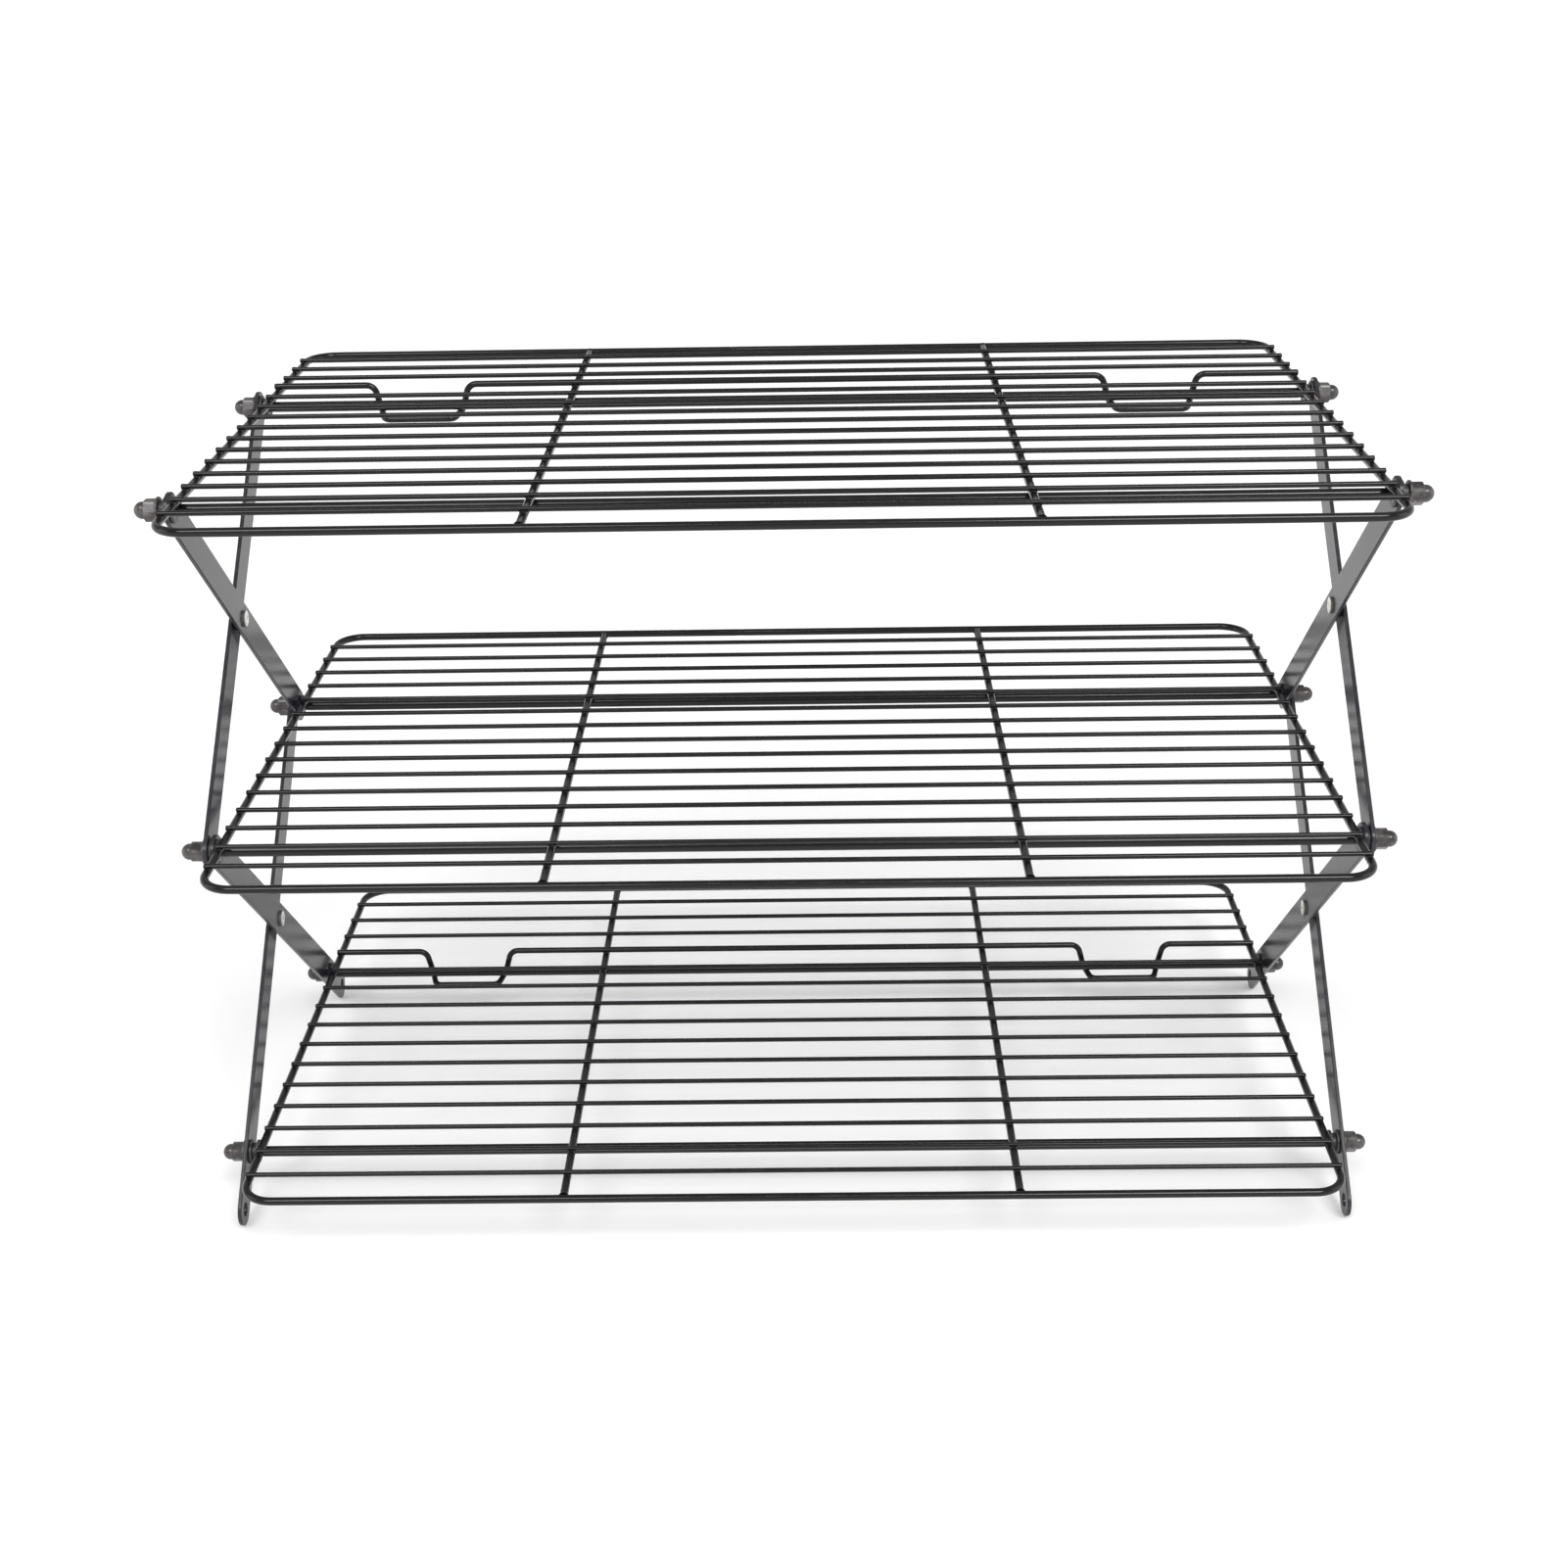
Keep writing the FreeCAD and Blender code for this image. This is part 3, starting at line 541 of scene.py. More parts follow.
@made_once
def arm_finish(f, colours, sizes):
    """A satin coat on rolled strip, thin on the edges and rubbed round the pivots."""
    half = sizes.arm_width / 2
    bar = f.node("ShaderNodeAttribute", {"attribute_name": "bar"}, output="Vector")
    along, across, remaining = f.apart(bar)
    beyond = (0 - along).at_least(0 - remaining).at_least(0.0)
    from_spine = (beyond * beyond + across * across) ** 0.5
    edge = from_spine.step(half * 0.915, half * 0.985)
    from_hole = along.maths("PINGPONG", along, ARM_REACH / 4)
    from_pivot = (from_hole * from_hole + across * across) ** 0.5
    rubbed = from_pivot.step(5.4 * MM, 4.3 * MM) * f.noise(900.0, 2.0).step(0.3, 0.6)

    grain = f.noise(1.0, 2.0, vector=f.stretched(bar, (60.0, 2400.0, 60.0)))
    scratches = f.noise(1.0, 3.0, vector=f.stretched(bar, (55.0, 1500.0, 0.0)), roughness=0.7)
    scratched = scratches.step(0.66, 0.72) * f.noise(45.0, 2.0).step(0.48, 0.66)
    cloud = f.noise(26.0, 4.0, roughness=0.6)
    peel = f.noise(700.0, 3.0)
    wear = edge * f.noise(330.0, 3.0).step(0.36, 0.66)
    pale = wear * 0.4 + rubbed * 0.4 + scratched * 0.35 + cloud.step(0.45, 0.8) * 0.22
    tint = f.blend(pale, colours.arm, colours.arm_pale)
    rough = 0.17 + cloud * 0.08 + grain * 0.03 + peel * 0.02 + rubbed * 0.08 + scratched * 0.06
    normal = f.bump(peel * 0.6 + grain * 0.4 - scratched * 0.5, 0.000008, 0.7)
    return f.surface(Base_Color=tint, Roughness=rough, Normal=normal, Specular_IOR_Level=ARM_SHINE)


@made_once
def nut_finish(f, colours):
    """A thin patchy coat on turned nuts, worn pale on their corners."""
    corner = f.node("ShaderNodeAttribute", {"attribute_name": "corner"}, output="Fac")
    cloud = f.noise(260.0, 4.0, roughness=0.6)
    grit = f.noise(2400.0, 2.0)
    worn = corner.step(0.35, 0.95) * cloud.step(0.32, 0.62)
    specks = grit.step(0.62, 0.72) * cloud.step(0.5, 0.65)
    patches = cloud.step(0.36, 0.66) * 0.5
    tint = f.blend(worn * 0.8 + specks * 0.35 + patches, colours.nut, colours.nut_pale)
    lathe = f.noise(1.0, 1.0, vector=f.stretched(f.place, (9000.0, 0.0, 0.0)))
    rough = 0.15 + cloud * 0.12 + grit * 0.06 - worn * 0.03
    normal = f.bump(grit * 0.6 + cloud * 0.25 + lathe * 0.3, 0.00002, 0.7)
    return f.surface(Base_Color=tint, Roughness=rough, Normal=normal)


@made_once
def washer_finish(f, colours):
    """A thin dark coat on stamped washers, with rings left by turning."""
    radius = f.from_axis()
    cloud = f.noise(480.0, 3.0, roughness=0.6)
    groove = radius.maths("SINE", radius * 22000.0 + cloud * 3.0)
    rubbed = radius.step(3.6 * MM, 2.4 * MM) * cloud.step(0.35, 0.6)
    rim = radius.step(4.15 * MM, 4.45 * MM) * cloud.step(0.3, 0.6)
    tint = f.blend(rubbed * 0.5 + rim * 0.6, colours.washer, colours.nut_pale)
    rough = 0.32 + cloud * 0.16 - rubbed * 0.06
    normal = f.bump(groove * 0.5 + cloud * 0.4, 0.000015, 0.7)
    return f.surface(Base_Color=tint, Roughness=rough, Normal=normal)


@made_once
def rivet_finish(f, colours):
    """Bare rivet steel, tarnished in patches, with painted shade on the wall round the inner head, and
    the rings of the forming tool.
    """
    radius = f.from_axis()
    cloud = f.noise(420.0, 4.0, roughness=0.65)
    grit = f.noise(2600.0, 2.0)
    groove = radius.maths("SINE", radius * 26000.0 + cloud * 4.0)
    # Painted shade: the wall round the inner head is painted dark all round, standing in for the shade
    # under the head's edge. The cloudy tarnish patches are real.
    wall = radius.step(2.85 * MM, 3.02 * MM)
    tarnish_and_shade = (cloud.step(0.50, 0.76) * 0.55).at_least(wall)
    tint = f.blend(tarnish_and_shade * 0.8, colours.rivet, colours.rivet_dark)
    rough = 0.22 + tarnish_and_shade * 0.26 + grit * 0.08
    normal = f.bump(groove * 0.35 + grit * 0.3 + cloud * 0.35, 0.00003, 0.7)
    return f.surface(Base_Color=tint, Metallic=1.0 - tarnish_and_shade * 0.35, Roughness=rough, Normal=normal)


@made_once
def floor_finish(f, stage):
    """A plain pale studio floor, lit from below as well, with the faintest unevenness."""
    cloud = f.noise(1.3, 2.0)
    dim = [channel * 0.985 for channel in stage.floor]
    tint = f.blend(cloud * 0.5, stage.floor, dim)
    return f.surface(Base_Color=tint, Roughness=0.62 + cloud * 0.05,
                     Emission_Color=opaque(stage.floor), Emission_Strength=stage.floor_glow)


def mark_points(mesh, name, values):
    """Store a vector at each point, for a finish to read."""
    layer = mesh.attributes.new(name, "FLOAT_VECTOR", "POINT")
    layer.data.foreach_set("vector", [number for value in values for number in value])


def mark_axis(mesh, y, z):
    """Store how each point of a turned piece lies from its axis."""
    mark_points(mesh, "ring", [(0, point.co.y - y, point.co.z - z) for point in mesh.vertices])


# Shelves

# The butt weld in a frame wire: places along it and widths there, both in wire radii.
SEAM = ((-1.3, 1.0), (-0.7, 0.955), (-0.25, 0.985), (0.0, 1.0), (0.25, 0.985), (0.7, 0.955), (1.3, 1.0))
CORNER_STEPS = 12
# The fillet at a stay's end: places along it in weld spreads, and widths there in wire radii.
STAY_FLARE = ((0.0, 1.30), (0.35, 1.22), (0.8, 1.09), (1.5, 1.02), (2.6, 1.0))


def build_wires(nodes, shape, context):
    """Shape the wires that stand for some nodes, and coat them."""
    finish = wire_finish(context.scene.rack_colours)
    for node in nodes:
        stand_for(node, shape(node, context.scene.rack_sizes), finish)


class RACK_OT_shelf_frames(bpy.types.Operator):
    """Build the closed wire round each shelf, with its butt weld at the back"""

    bl_idname = "rack.shelf_frames"
    bl_label = "Shelf Frames"

    def execute(self, context):
        build_wires([f"{tier}_shelf_frame" for tier in TIERS], frame_loop, context)
        return {"FINISHED"}


def frame_loop(node, sizes):
    """The wire loop: four runs, four bends and the seam where its ends meet."""
    low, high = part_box(node)
    radius = sizes.frame_wire / 2
    bend = sizes.frame_corner
    half_x = (high.x - low.x) / 2 - radius
    half_y = (high.y - low.y) / 2 - radius
    z = (low.z + high.z) / 2
    seam_x = -sizes.frame_corner * 2
    path = []
    radii = []
    for offset, share in SEAM:
        path.append(Vector((seam_x - offset * radius, half_y, z)))
        radii.append(radius * share)
    for corner_x, corner_y, quarter in ((-1, 1, 1), (-1, -1, 2), (1, -1, 3), (1, 1, 4)):
        centre = Vector((corner_x * (half_x - bend), corner_y * (half_y - bend), z))
        for step in range(CORNER_STEPS + 1):
            angle = (quarter + step / CORNER_STEPS) * math.pi / 2
            path.append(centre + Vector((math.cos(angle), math.sin(angle), 0)) * bend)
            radii.append(radius)
    return ring_mesh(node, swept_rings(path, radii, closed=True), closed=True)


class RACK_OT_stay_wires(bpy.types.Operator):
    """Build the two wires under each shelf, flared where they are welded to the frame"""

    bl_idname = "rack.stay_wires"
    bl_label = "Stay Wires"

    def execute(self, context):
        build_wires([f"{tier}_stay_{side}" for tier in TIERS for side in SIDES], stay_run, context)
        return {"FINISHED"}


def stay_run(node, sizes):
    """One straight wire with a weld fillet at each end."""
    low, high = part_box(node)
    radius = sizes.frame_wire / 2
    spread = sizes.weld_spread
    places = [low.y + step * spread for step, _ in STAY_FLARE]
    places += [high.y - step * spread for step, _ in reversed(STAY_FLARE)]
    shares = [share for _, share in STAY_FLARE + STAY_FLARE[::-1]]
    middle = (low + high) / 2
    path = [Vector((middle.x, y, middle.z)) for y in places]
    return ring_mesh(node, swept_rings(path, [radius * share for share in shares]))


def row_places(tier, sizes):
    """Where a shelf's rows of wire lie, from front to back."""
    low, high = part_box(f"{tier}_cross_wires")
    radius = sizes.cross_wire / 2
    first = low.y + radius
    pitch = (high.y - low.y - 2 * radius) / (WIRE_ROWS - 1)
    return [first + row * pitch for row in range(WIRE_ROWS)]


def has_latch(tier):
    """Whether a shelf has a latch wire in place of one of its rows."""
    return f"{tier}_latch_wire" in BODY_OF


class RACK_OT_cross_wires(bpy.types.Operator):
    """Build the thin wires across the shelves, with drawn-in ends"""

    bl_idname = "rack.cross_wires"
    bl_label = "Cross Wires"

    def execute(self, context):
        build_wires([f"{tier}_cross_wires" for tier in TIERS], cross_rows, context)
        return {"FINISHED"}


def cross_rows(node, sizes):
    """A shelf's straight rows, with the coat gathered at their cut ends."""
    tier = node.removesuffix("_cross_wires")
    low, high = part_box(node)
    z = (low.z + high.z) / 2
    skin = Skin()
    for row, y in enumerate(row_places(tier, sizes), start=1):
        if row == LATCH_ROW and has_latch(tier):
            continue
        run = [Vector((x, y, z)) for x in (low.x, low.x / 2, high.x / 2, high.x)]
        path, radii = cut_end(run, sizes.cross_wire / 2, gather=1.12)
        skin.add_rings(swept_rings(path, radii, sides=20))
    return skin.to_mesh(node)


class RACK_OT_latch_wires(bpy.types.Operator):
    """Build the thick cross wires with the two loops that hold the back rod"""

    bl_idname = "rack.latch_wires"
    bl_label = "Latch Wires"

    def execute(self, context):
        nodes = [f"{tier}_latch_wire" for tier in filter(has_latch, TIERS)]
        build_wires(nodes, latch_run, context)
        return {"FINISHED"}


def latch_run(node, sizes):
    """A straight wire that dips twice, forward and under the rod."""
    low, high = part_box(node)
    radius = sizes.latch_wire / 2
    straight = Vector((0, high.y - radius, high.z - radius))
    reach = straight.y - low.y - radius
    drop = straight.z - low.z - radius
    mouth = sizes.latch_mouth / 2
    base = sizes.latch_base / 2
    heel = Vector(((mouth + base) / 2, -sizes.latch_heel_reach, -sizes.latch_heel_drop))
    loop = [
        Vector((-mouth, 0, 0)),
        Vector((-heel.x, heel.y, heel.z)),
        Vector((-base, -reach, -drop)),
        Vector((base, -reach, -drop)),
        heel,
        Vector((mouth, 0, 0)),
    ]
    points = [straight + X_AXIS * low.x]
    bends = []
    for centre in (-sizes.latch_spacing / 2, sizes.latch_spacing / 2):
        points += [straight + X_AXIS * centre + point for point in loop]
        bends += [sizes.latch_shoulder] + [sizes.latch_bend] * 4 + [sizes.latch_shoulder]
    points.append(straight + X_AXIS * high.x)
    return ring_mesh(node, swept_rings(*cut_end(rounded_path(points, bends), radius)))


# A bead, in wire radii: where it starts from each wire's middle, how far it reaches across a wire
# and along the lower one; then its waist next to its ends, and how uneven its four sides are.
WELD_START = 0.35
WELD_ACROSS = 0.72
WELD_ALONG = 0.75
WELD_WAIST = 0.8
WELD_SWAY = (0.9, 1.12)
WELD_LEVELS = 8
WELD_SIDES = 16


def add_weld(skin, spot, below, above, spread, rng, limit, turned=False):
    """A bead between two crossing wires: wide along each wire near it, waisted in between.

    below and above are the wires' heights and radii; the one below runs along Y, or along X
    if the bead is turned.  No bead goes further out along X than limit.
    """
    low_z, low_radius = below
    high_z, high_radius = above
    start = low_z + low_radius * WELD_START
    end = high_z - high_radius * WELD_START
    across_low = low_radius * WELD_ACROSS + spread / 4
    along_high = high_radius + spread
    along_low = low_radius * WELD_ALONG + spread
    across_high = high_radius * WELD_ACROSS + spread / 4
    sway = [rng.uniform(*WELD_SWAY) for _ in range(4)]
    lean = rng.uniform(0.0, math.tau)
    rings = []
    for level in range(WELD_LEVELS):
        share = level / (WELD_LEVELS - 1)
        x = across_low + (along_high - across_low) * share
        y = along_low + (across_high - along_low) * share
        squeeze = WELD_WAIST + (1 - WELD_WAIST) * (2 * share - 1) ** 2
        ring = []
        for angle in circle_angles(WELD_SIDES):
            uneven = 1 + 0.05 * math.sin(3 * angle + lean) + 0.04 * math.sin(5 * angle - lean)
            reach_x = x * squeeze * uneven * sway[0 if math.cos(angle) > 0 else 1]
            reach_y = y * squeeze * uneven * sway[2 if math.sin(angle) > 0 else 3]
            offset = (reach_x * math.cos(angle), reach_y * math.sin(angle))
            if turned:
                offset = (offset[1], offset[0])
            out_x = max(-limit, min(limit, spot[0] + offset[0]))
            ring.append(Vector((out_x, spot[1] + offset[1], start + (end - start) * share)))
        rings.append(ring)
    skin.add_rings(rings)


class RACK_OT_weld_beads(bpy.types.Operator):
    """Build the welds at every crossing of the shelf wires and on the fixed rod"""

    bl_idname = "rack.weld_beads"
    bl_label = "Weld Beads"

    def execute(self, context):
        finish = weld_finish("weld_coat", context.scene.rack_colours)
        rng = random.Random(context.scene.rack_stage.seed)
        for tier in TIERS:
            mesh = shelf_welds(tier, context.scene.rack_sizes, rng)
            new_piece(f"{tier}_welds", mesh, finish, BODY_OF[f"{tier}_shelf_frame"])
        return {"FINISHED"}


def shelf_welds(tier, sizes, rng):
    """A shelf's beads: its rows on the frame and stays, and those on a rod that isn't latched."""
    frame_low, frame_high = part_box(f"{tier}_shelf_frame")
    frame_wire = ((frame_low.z + frame_high.z) / 2, sizes.frame_wire / 2)
    half_x = frame_high.x - sizes.frame_wire / 2
    stay_x = middle_of(f"{tier}_stay_right").x
    columns = (-half_x, -stay_x, stay_x, half_x)
    wires_z = middle_of(f"{tier}_cross_wires").z
    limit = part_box(f"{tier}_cross_wires")[1].x - sizes.cross_wire / 4
    skin = Skin()
    for row, y in enumerate(row_places(tier, sizes), start=1):
        wire = (wires_z, sizes.cross_wire / 2)
        if row == LATCH_ROW and has_latch(tier):
            wire = (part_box(f"{tier}_latch_wire")[1].z - sizes.latch_wire / 2, sizes.latch_wire / 2)
        for x in columns:
            add_weld(skin, (x, y), frame_wire, wire, sizes.weld_spread, rng, limit)
    if not has_latch(tier):
        rod_low, rod_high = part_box(f"{tier}_back_rod")
        rod_y = (rod_low.y + rod_high.y) / 2
        rod = (rod_low.z + sizes.rod / 2, sizes.rod / 2)
        for x in columns:
            add_weld(skin, (x, rod_y), rod, frame_wire, sizes.weld_spread, rng, frame_high.x, turned=True)
    return skin.to_mesh(f"{tier}_welds")


# Tie rods and what is threaded on them

ROD_SIDES = 24
THREAD_STEPS = 6
# A rod's tip, next to the rod's width, and how much wider it is one turn of the thread further in.
TIP_WIDTH = 0.78
TIP_SLOPE = 0.4
# How far the edges of washers and spacers are drawn in.
WASHER_SOFT = 0.16 * MM
SPACER_SOFT = 0.1 * MM


def rod_axis(tier, end):
    """A tie rod's depth and height, from the washers on it."""
    middle = middle_of(f"{tier}_{end}_washers")
    return middle.y, middle.z


class RACK_OT_tie_rods(bpy.types.Operator):
    """Build the tie rods, with a rolled thread at each end"""

    bl_idname = "rack.tie_rods"
    bl_label = "Tie Rods"

    def execute(self, context):
        finish = rod_finish(context.scene.rack_colours)
        for tier in TIERS:
            for end in ENDS:
                node = f"{tier}_{end}_rod"
                stand_for(node, threaded_rod(tier, end, context.scene.rack_sizes), finish)
        return {"FINISHED"}


def threaded_rod(tier, end, sizes):
    """A plain bar whose ends carry a helical thread."""
    node = f"{tier}_{end}_rod"
    y, z = rod_axis(tier, end)
    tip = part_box(node)[1].x
    radius = sizes.rod / 2
    start = tip - sizes.thread_length
    steps = int(sizes.thread_length / sizes.thread_pitch * THREAD_STEPS)
    places = [start + sizes.thread_length * step / steps for step in range(steps + 1)]
    places = [start - sizes.thread_pitch] + places
    places = [-x for x in reversed(places)] + places
    rings = []
    for x in places:
        fade = min(1.0, max(0.0, (abs(x) - start) / sizes.thread_pitch))
        taper = min(1.0, TIP_WIDTH + (tip - abs(x)) / sizes.thread_pitch * TIP_SLOPE)
        ring = []
        for angle in circle_angles(ROD_SIDES):
            phase = (x / sizes.thread_pitch - angle / math.tau) % 1.0
            groove = 0.5 - 0.5 * math.cos(math.tau * phase)
            reach = (radius - sizes.thread_depth * groove * fade) * taper
            ring.append(Vector((x, y + reach * math.cos(angle), z + reach * math.sin(angle))))
        rings.append(ring)
    return ring_mesh(node, rings, sharp_angle=60.0)


def add_washer(skin, x, thickness, outer, bore, axis, side, soft):
    """A stamped ring, with one face's edge drawn in by soft and the other's by half of that."""
    sharp = soft * 0.5
    far = x + thickness
    profile = [
        (x, bore + sharp),
        (x, outer - 2.2 * soft),
        (x + 0.35 * soft, outer - soft),
        (x + soft, outer - 0.3 * soft),
        (x + 2.2 * soft, outer),
        (far - sharp, outer),
        (far - 0.3 * sharp, outer - 0.3 * sharp),
        (far, outer - sharp),
        (far, bore + sharp),
        (far - sharp, bore),
        (x + sharp, bore),
    ]
    skin.add_rings(turned_rings(profile, *axis, side), closed=True)


def build_rings(node, count, thickness, soft, context):
    """A node's rings: count of them at each end, one step apart, from the outermost inwards."""
    sizes = context.scene.rack_sizes
    low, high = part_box(node)
    middle = (low + high) / 2
    skin = Skin()
    for place in range(count):
        x = high.x - thickness - place * sizes.washer_step
        for side in (-1, 1):
            add_washer(skin, x, thickness, (high.z - low.z) / 2, sizes.washer_bore / 2,
                       (middle.y, middle.z), side, soft)
    mesh = skin.to_mesh(node, sharp_angle=50.0)
    mark_axis(mesh, middle.y, middle.z)
    stand_for(node, mesh, washer_finish("washer_coat", context.scene.rack_colours))


class RACK_OT_washers(bpy.types.Operator):
    """Build the washers on the rod ends and between the riveted arms"""

    bl_idname = "rack.washers"
    bl_label = "Washers"

    def execute(self, context):
        sizes = context.scene.rack_sizes
        second_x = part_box("lower_rivet_washers")[1].x
        for node in (node for node in BODY_OF if node.endswith("_washers")):
            count = 1
            if "rivet" not in node:
                count = 2 + round((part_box(node)[1].x - second_x) / sizes.washer_step)
            build_rings(node, count, sizes.washer_thick, WASHER_SOFT, context)
        return {"FINISHED"}


class RACK_OT_spacers(bpy.types.Operator):
    """Build the short tubes that fill the place of a missing arm"""

    bl_idname = "rack.spacers"
    bl_label = "Spacers"

    def execute(self, context):
        for node in (node for node in BODY_OF if node.endswith("_spacers")):
            build_rings(node, 1, context.scene.rack_sizes.spacer_length, SPACER_SOFT, context)
        return {"FINISHED"}


class RACK_OT_cap_nuts(bpy.types.Operator):
    """Build the domed cap nuts, each tightened to its own angle"""

    bl_idname = "rack.cap_nuts"
    bl_label = "Cap Nuts"

    def execute(self, context):
        sizes = context.scene.rack_sizes
        finish = nut_finish("nut_coat", context.scene.rack_colours)
        rng = random.Random(context.scene.rack_stage.seed)
        for tier in TIERS:
            for end in ENDS:
                node = f"{tier}_{end}_nuts"
                y, z = rod_axis(tier, end)
                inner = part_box(node)[1].x - sizes.nut_height
                skin = Skin()
                corners = []
                for side in (-1, 1):
                    turn = rng.uniform(0.0, math.pi / 3)
                    add_cap_nut(skin, corners, inner, (y, z), side, turn, sizes)
                mesh = skin.to_mesh(node, sharp_angle=38.0)
                layer = mesh.attributes.new("corner", "FLOAT", "POINT")
                layer.data.foreach_set("value", corners)
                stand_for(node, mesh, finish)
        return {"FINISHED"}


# A cap nut's end faces and its cut corners, in halves of its flats.
NUT_FACE = 0.985
NUT_CORNER = 1.135
NUT_SIDES = 72
BEVEL_STEPS = 5
NECK_STEPS = 4
CAP_STEPS = 12


def nut_rows(sizes):
    """A nut's section from its bore to its tip: place, radius limit and share of the hexagon."""
    flat = sizes.nut_flats / 2
    dome = sizes.nut_dome / 2
    height = sizes.nut_hexagon
    bore = sizes.rod / 2 + 0.05 * MM
    mouth = bore + 0.1 * MM
    bevel_depth = 0.375 * MM
    fillet = 0.22 * MM
    beyond = 2 * flat
    bevel = []
    for step in range(BEVEL_STEPS + 1):
        x = bevel_depth * step / BEVEL_STEPS
        bevel.append((x, flat * NUT_FACE + x / math.tan(sizes.nut_bevel), step / BEVEL_STEPS))
    rows = [(sizes.nut_bore, 0.0, 0.0), (sizes.nut_bore, bore, 0.0), (0.0, bore, 0.0),
            (0.0, mouth, 0.0), *bevel, (height / 2, beyond, 0.6)]
    rows += [(height - x, limit, edge) for x, limit, edge in reversed(bevel)]
    for step in range(NECK_STEPS + 1):
        angle = math.pi / 2 * step / NECK_STEPS
        rows.append((height + fillet * (1 - math.cos(angle)), dome + fillet * (1 - math.sin(angle)), 0.0))
    for step in range(CAP_STEPS):
        angle = math.pi / 2 * step / CAP_STEPS
        rows.append((sizes.nut_height - dome + dome * math.sin(angle), dome * math.cos(angle), 0.0))
    rows.append((sizes.nut_height, 0.02 * MM, 0.0))
    return rows


def add_cap_nut(skin, corners, inner, axis, side, turn, sizes):
    """A blind nut: bevelled hexagon, neck, straight wall, dome and threaded bore."""
    flat = sizes.nut_flats / 2
    y, z = axis
    rings = []
    for x, limit, edge in nut_rows(sizes):
        ring = []
        for angle in circle_angles(NUT_SIDES):
            sixth = (angle % (math.pi / 3)) - math.pi / 6
            outline = min(flat / math.cos(sixth), flat * NUT_CORNER)
            reach = min(outline, limit)
            ring.append(Vector((side * (inner + x), y + reach * math.cos(angle + turn),
                                z + reach * math.sin(angle + turn))))
            at_corner = (outline / flat - 1) / (NUT_CORNER - 1)
            corners.append(at_corner + 0.35 * (1 - edge) if edge else 0.0)
        rings.append(ring)
    bottom = Vector((side * (inner + sizes.nut_bore), y, z))
    rings[0] = [point.lerp(bottom, 0.98) for point in rings[1]]
    skin.add_rings(rings)


# Arms and rivets

END_STEPS = 32
HOLE_SIDES = 40
DOME_STEPS = 16
# How far a rivet end's rim is drawn in, and the width of its dish next to its own.
DOME_EDGE = 0.04 * MM
DISH_WIDTH = 0.42


def bar_mesh(name, reach, holes, sizes, thickness):
    """A flat bar with round ends and drilled holes, lying along its own X."""
    half = sizes.arm_width / 2
    outline = []
    for centre, start in ((0.0, math.pi / 2), (reach, -math.pi / 2)):
        for step in range(END_STEPS + 1):
            angle = start + math.pi * step / END_STEPS
            outline.append((centre + half * math.cos(angle), half * math.sin(angle)))
    curve = bpy.data.curves.new(name, "CURVE")
    curve.dimensions = "2D"
    curve.fill_mode = "BOTH"
    curve.extrude = thickness / 2 - sizes.arm_edge
    curve.bevel_depth = sizes.arm_edge
    curve.bevel_resolution = 3
    curve.offset = -sizes.arm_edge
    rims = [outline]
    for along, diameter in holes:
        rims.append([
            (along + diameter / 2 * math.cos(angle), diameter / 2 * math.sin(angle))
            for angle in circle_angles(HOLE_SIDES)
        ])
    for rim in rims:
        spline = curve.splines.new("POLY")
        spline.points.add(len(rim) - 1)
        for point, (across, up) in zip(spline.points, rim):
            point.co = (across, up, 0, 1)
        spline.use_cyclic_u = True
    carrier = bpy.data.objects.new(name, curve)
    mesh = bpy.data.meshes.new_from_object(carrier)
    bpy.data.objects.remove(carrier)
    bpy.data.curves.remove(curve)
    return mesh


class RACK_OT_flat_arms(bpy.types.Operator):
    """Build the flat folding arms, with rounded edges and drilled pivots"""

    bl_idname = "rack.flat_arms"
    bl_label = "Flat Arms"

    def execute(self, context):
        sizes = context.scene.rack_sizes
        finish = arm_finish("arm_coat", context.scene.rack_colours, sizes)
        for level, upper_tier in zip(LEVELS, TIERS[1:]):
            for row, end in (("inner", "front"), ("outer", "back")):
                for side in SIDES:
                    node = f"{level}_{row}_arm_{side}"
                    mesh = flat_arm(node, rod_axis(upper_tier, end), end, level, sizes)
                    stand_for(node, mesh, finish)
        return {"FINISHED"}


def flat_arm(node, top, end, level, sizes):
    """One arm in place: its bar hangs from the top pivot down to its foot or low pivot."""
    low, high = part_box(node)
    half = sizes.arm_width / 2
    foot_y = high.y - half if end == "front" else low.y + half
    foot = Vector((0, foot_y, low.z + half))
    head = Vector((0, *top))
    run = foot - head
    reach = run.length
    low_hole = sizes.open_hole if (level, end) == ("upper", "back") else sizes.pivot_hole
    holes = [(0.0, sizes.pivot_hole), (ARM_REACH / 2, sizes.pivot_hole), (ARM_REACH, low_hole)]
    if level == "lower":
        holes.append((reach, sizes.foot_hole))
    mesh = bar_mesh(node, reach, holes, sizes, high.x - low.x)
    marks = [(point.co.x, point.co.y, reach - point.co.x) for point in mesh.vertices]
    mark_points(mesh, "bar", marks)
    along = run.normalized()
    across = X_AXIS.cross(along)
    head.x = (low.x + high.x) / 2
    place = Matrix((along, across, X_AXIS)).transposed().to_4x4()
    place.translation = head
    mesh.transform(place)
    face_out(mesh)
    mesh.shade_smooth()
    mesh.set_sharp_from_angle(angle=math.radians(40))
    return mesh


class RACK_OT_rivets(bpy.types.Operator):
    """Build the rivets where the arms cross"""

    bl_idname = "rack.rivets"
    bl_label = "Rivets"

    def execute(self, context):
        finish = rivet_finish("rivet_bare_steel", context.scene.rack_colours)
        for level in LEVELS:
            for side_name, side in zip(SIDES, (-1, 1)):
                node = f"{level}_rivet_{side_name}"
                mesh = rivet_mesh(node, side, context.scene.rack_sizes)
                stand_for(node, mesh, finish, ending="bare")
        return {"FINISHED"}


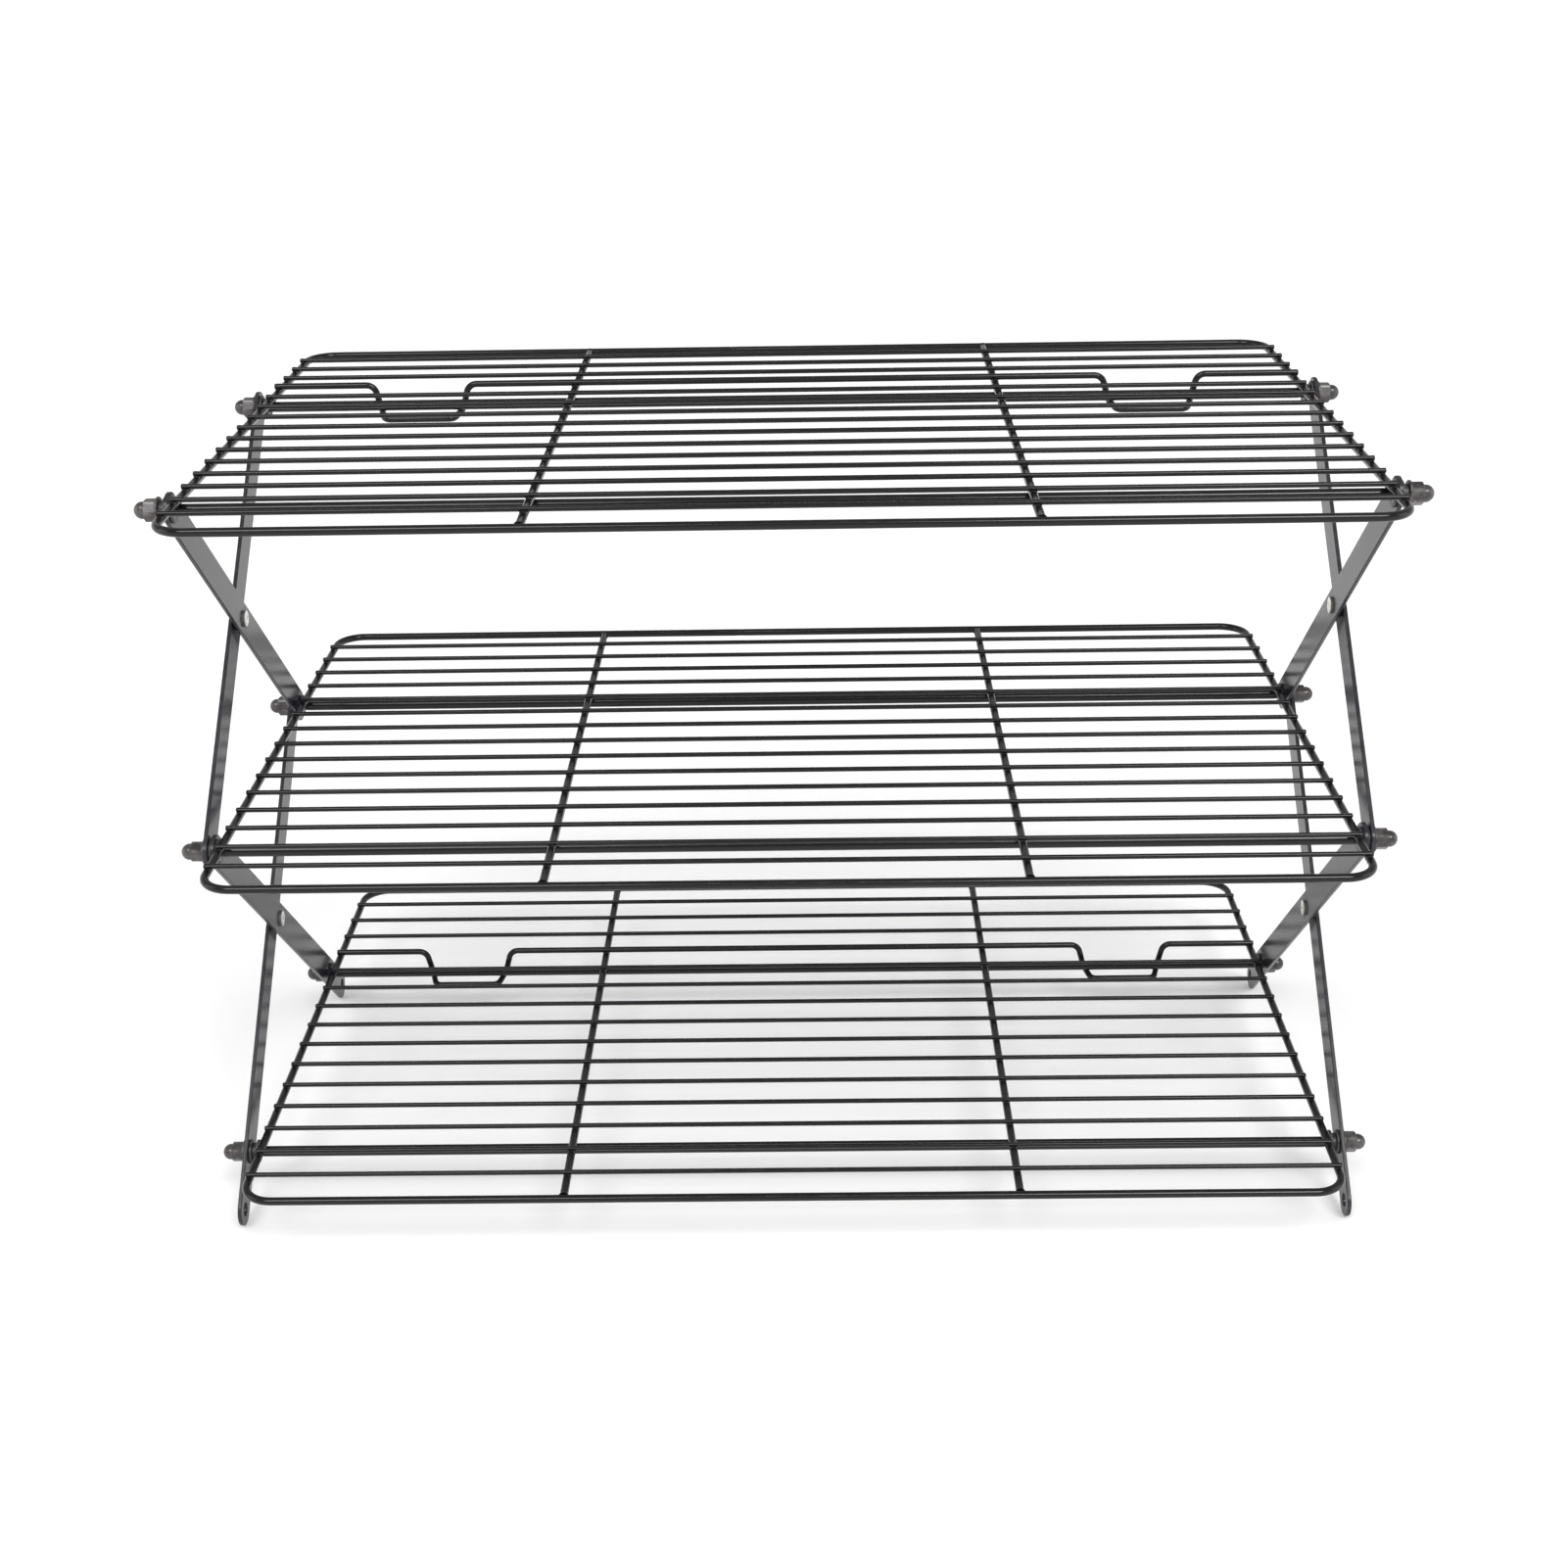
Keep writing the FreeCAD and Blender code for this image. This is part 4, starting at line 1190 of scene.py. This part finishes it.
def rivet_mesh(node, side, sizes):
    """A rivet turned about its axis, with its head on the inside."""
    low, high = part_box(node)
    middle = (low + high) / 2
    inner, outer = sorted((abs(low.x), abs(high.x)))
    profile = rivet_profile(inner, outer, (high.z - low.z) / 2, sizes)
    rings = turned_rings(profile, middle.y, middle.z, side, sides=40)
    mesh = ring_mesh(node, rings, sharp_angle=50.0)
    mark_axis(mesh, middle.y, middle.z)
    return mesh


def dome_profile(start, direction, radius, height, rim, dish):
    """A low dome from its tip to its rim, with a round dish pressed into the middle."""
    curve = (radius ** 2 + (height - rim) ** 2) / (2 * (height - rim))
    points = []
    for step in range(DOME_STEPS + 1):
        reach = radius * (0.01 + 0.99 * step / DOME_STEPS)
        fall = curve - math.sqrt(curve ** 2 - reach ** 2)
        pressed = dish * math.exp(-(reach / (DISH_WIDTH * radius)) ** 4)
        points.append((start + direction * (fall + pressed), reach))
    points.append((start + direction * height, radius - DOME_EDGE))
    return points


def rivet_profile(inner, outer, head_radius, sizes):
    """From the inner head's tip, along the shank, to the outer end's tip."""
    shank = sizes.rod / 2
    head = dome_profile(inner, 1, head_radius, sizes.rivet_head, sizes.rivet_rim, dish=0.35 * MM)
    tail = dome_profile(outer, -1, sizes.rivet_tail_dia / 2, sizes.rivet_tail, rim=0.15 * MM,
                        dish=0.2 * MM)
    neck = [(inner + sizes.rivet_head, shank), (outer - sizes.rivet_tail, shank)]
    return head + neck + tail[::-1]


# Stage

# The width and height of a side light.
SIDE_LIGHT = (0.9, 1.1)
# Where the backdrop starts to fade and the room is reached, from 0 at eye level to 1 overhead.
BACKDROP_TOP = 0.05
ROOM_FOOT = 0.40


class RACK_OT_stage(bpy.types.Operator):
    """Set up the floor, the soft lights, the surroundings and the camera"""

    bl_idname = "rack.stage"
    bl_label = "Stage"

    def execute(self, context):
        scene = context.scene
        stage = scene.rack_stage
        lay_floor(stage)
        surround(scene, stage)
        for name, side, share in (("left", -1, stage.key_left), ("right", 1, stage.key_right)):
            key_light(f"{name}_key_light", side, share, stage)
            side_light(f"{name}_light", side, stage)
        camera = bpy.data.objects.new("camera", bpy.data.cameras.new("camera"))
        scene.collection.objects.link(camera)
        camera.location = stage.camera_place
        camera.rotation_euler = stage.camera_turn
        camera.data.lens = stage.camera_lens
        camera.data.clip_start = 0.02
        camera.data.clip_end = 2 * stage.floor_width
        scene.camera = camera
        scene.view_settings.view_transform = "Standard"
        return {"FINISHED"}


def lay_floor(stage):
    """A wide plain floor just under the feet."""
    half = stage.floor_width / 2
    z = cad_box[0].z - 0.1 * MM
    mesh = bpy.data.meshes.new("floor")
    corners = [(-half, -half, z), (half, -half, z), (half, half, z), (-half, half, z)]
    mesh.from_pydata(corners, [], [(0, 1, 2, 3)])
    mesh.materials.append(floor_finish("studio_floor", stage))
    floor = bpy.data.objects.new("floor", mesh)
    bpy.context.scene.collection.objects.link(floor)


def surround(scene, stage):
    """A pale backdrop all round at floor level, and a darker room above it."""
    scene.world = bpy.data.worlds.new("surroundings")
    air = Nodes(scene.world)
    up = air.apart(air.node("ShaderNodeTexCoord", output="Generated"))[2]
    room = up.step(BACKDROP_TOP, ROOM_FOOT)
    tint = air.blend(room, stage.backdrop, stage.room)
    background = air.node("ShaderNodeBackground", inputs={"Color": tint})
    air.node("ShaderNodeOutputWorld", inputs={"Surface": background})


def new_lamp(name, kind, side, place):
    """A light on one side, and the object that carries it."""
    light = bpy.data.lights.new(name, kind)
    lamp = bpy.data.objects.new(name, light)
    bpy.context.scene.collection.objects.link(lamp)
    lamp.location = (side * place[0], place[1], place[2])
    return light, lamp


def aim(lamp, spot):
    """Turn a light towards a spot."""
    lamp.rotation_euler = (spot - lamp.location).to_track_quat("-Z", "Y").to_euler()


def key_light(name, side, share, stage):
    """One side's share of the wide soft light from above the front."""
    light, lamp = new_lamp(name, "SUN", side, stage.key_place)
    light.energy = stage.key_strength * share
    light.angle = stage.key_spread
    aim(lamp, Vector())


def side_light(name, side, stage):
    """A rectangular light aimed at the rack's middle."""
    light, lamp = new_lamp(name, "AREA", side, stage.side_place)
    light.shape = "RECTANGLE"
    light.size, light.size_y = SIDE_LIGHT
    light.energy = stage.side_power
    aim(lamp, (cad_box[0] + cad_box[1]) / 2)


# Sidebar

OPERATORS = (
    RACK_OT_stage,
    RACK_OT_shelf_frames,
    RACK_OT_stay_wires,
    RACK_OT_cross_wires,
    RACK_OT_latch_wires,
    RACK_OT_weld_beads,
    RACK_OT_tie_rods,
    RACK_OT_washers,
    RACK_OT_spacers,
    RACK_OT_cap_nuts,
    RACK_OT_flat_arms,
    RACK_OT_rivets,
)
GROUPS = {"rack_sizes": RackSizes, "rack_colours": RackColours, "rack_stage": RackStage}


class RACK_PT_sidebar(bpy.types.Panel):
    """The rack's pieces, sizes and colours"""

    bl_label = "Cooling Rack"
    bl_idname = "RACK_PT_sidebar"
    bl_space_type = "VIEW_3D"
    bl_region_type = "UI"
    bl_category = "Cooling Rack"

    def draw(self, context):
        pieces = self.layout.column(align=True)
        for operator in OPERATORS:
            pieces.operator(operator.bl_idname)
        for attribute, group in GROUPS.items():
            settings = self.layout.column(align=True)
            for name in group.__annotations__:
                settings.prop(getattr(context.scene, attribute), name)


CLASSES = (*GROUPS.values(), *OPERATORS, RACK_PT_sidebar)


def register():
    """Add the classes and the rack's settings."""
    for item in CLASSES:
        bpy.utils.register_class(item)
    for attribute, group in GROUPS.items():
        setattr(bpy.types.Scene, attribute, PointerProperty(type=group))


def unregister():
    """Take the classes and the settings away again."""
    for attribute in GROUPS:
        delattr(bpy.types.Scene, attribute)
    for item in reversed(CLASSES):
        bpy.utils.unregister_class(item)


def main():
    """Build every piece."""
    register()
    for operator in OPERATORS:
        group, name = operator.bl_idname.split(".")
        getattr(getattr(bpy.ops, group), name)()


if __name__ == "__main__":
    main()
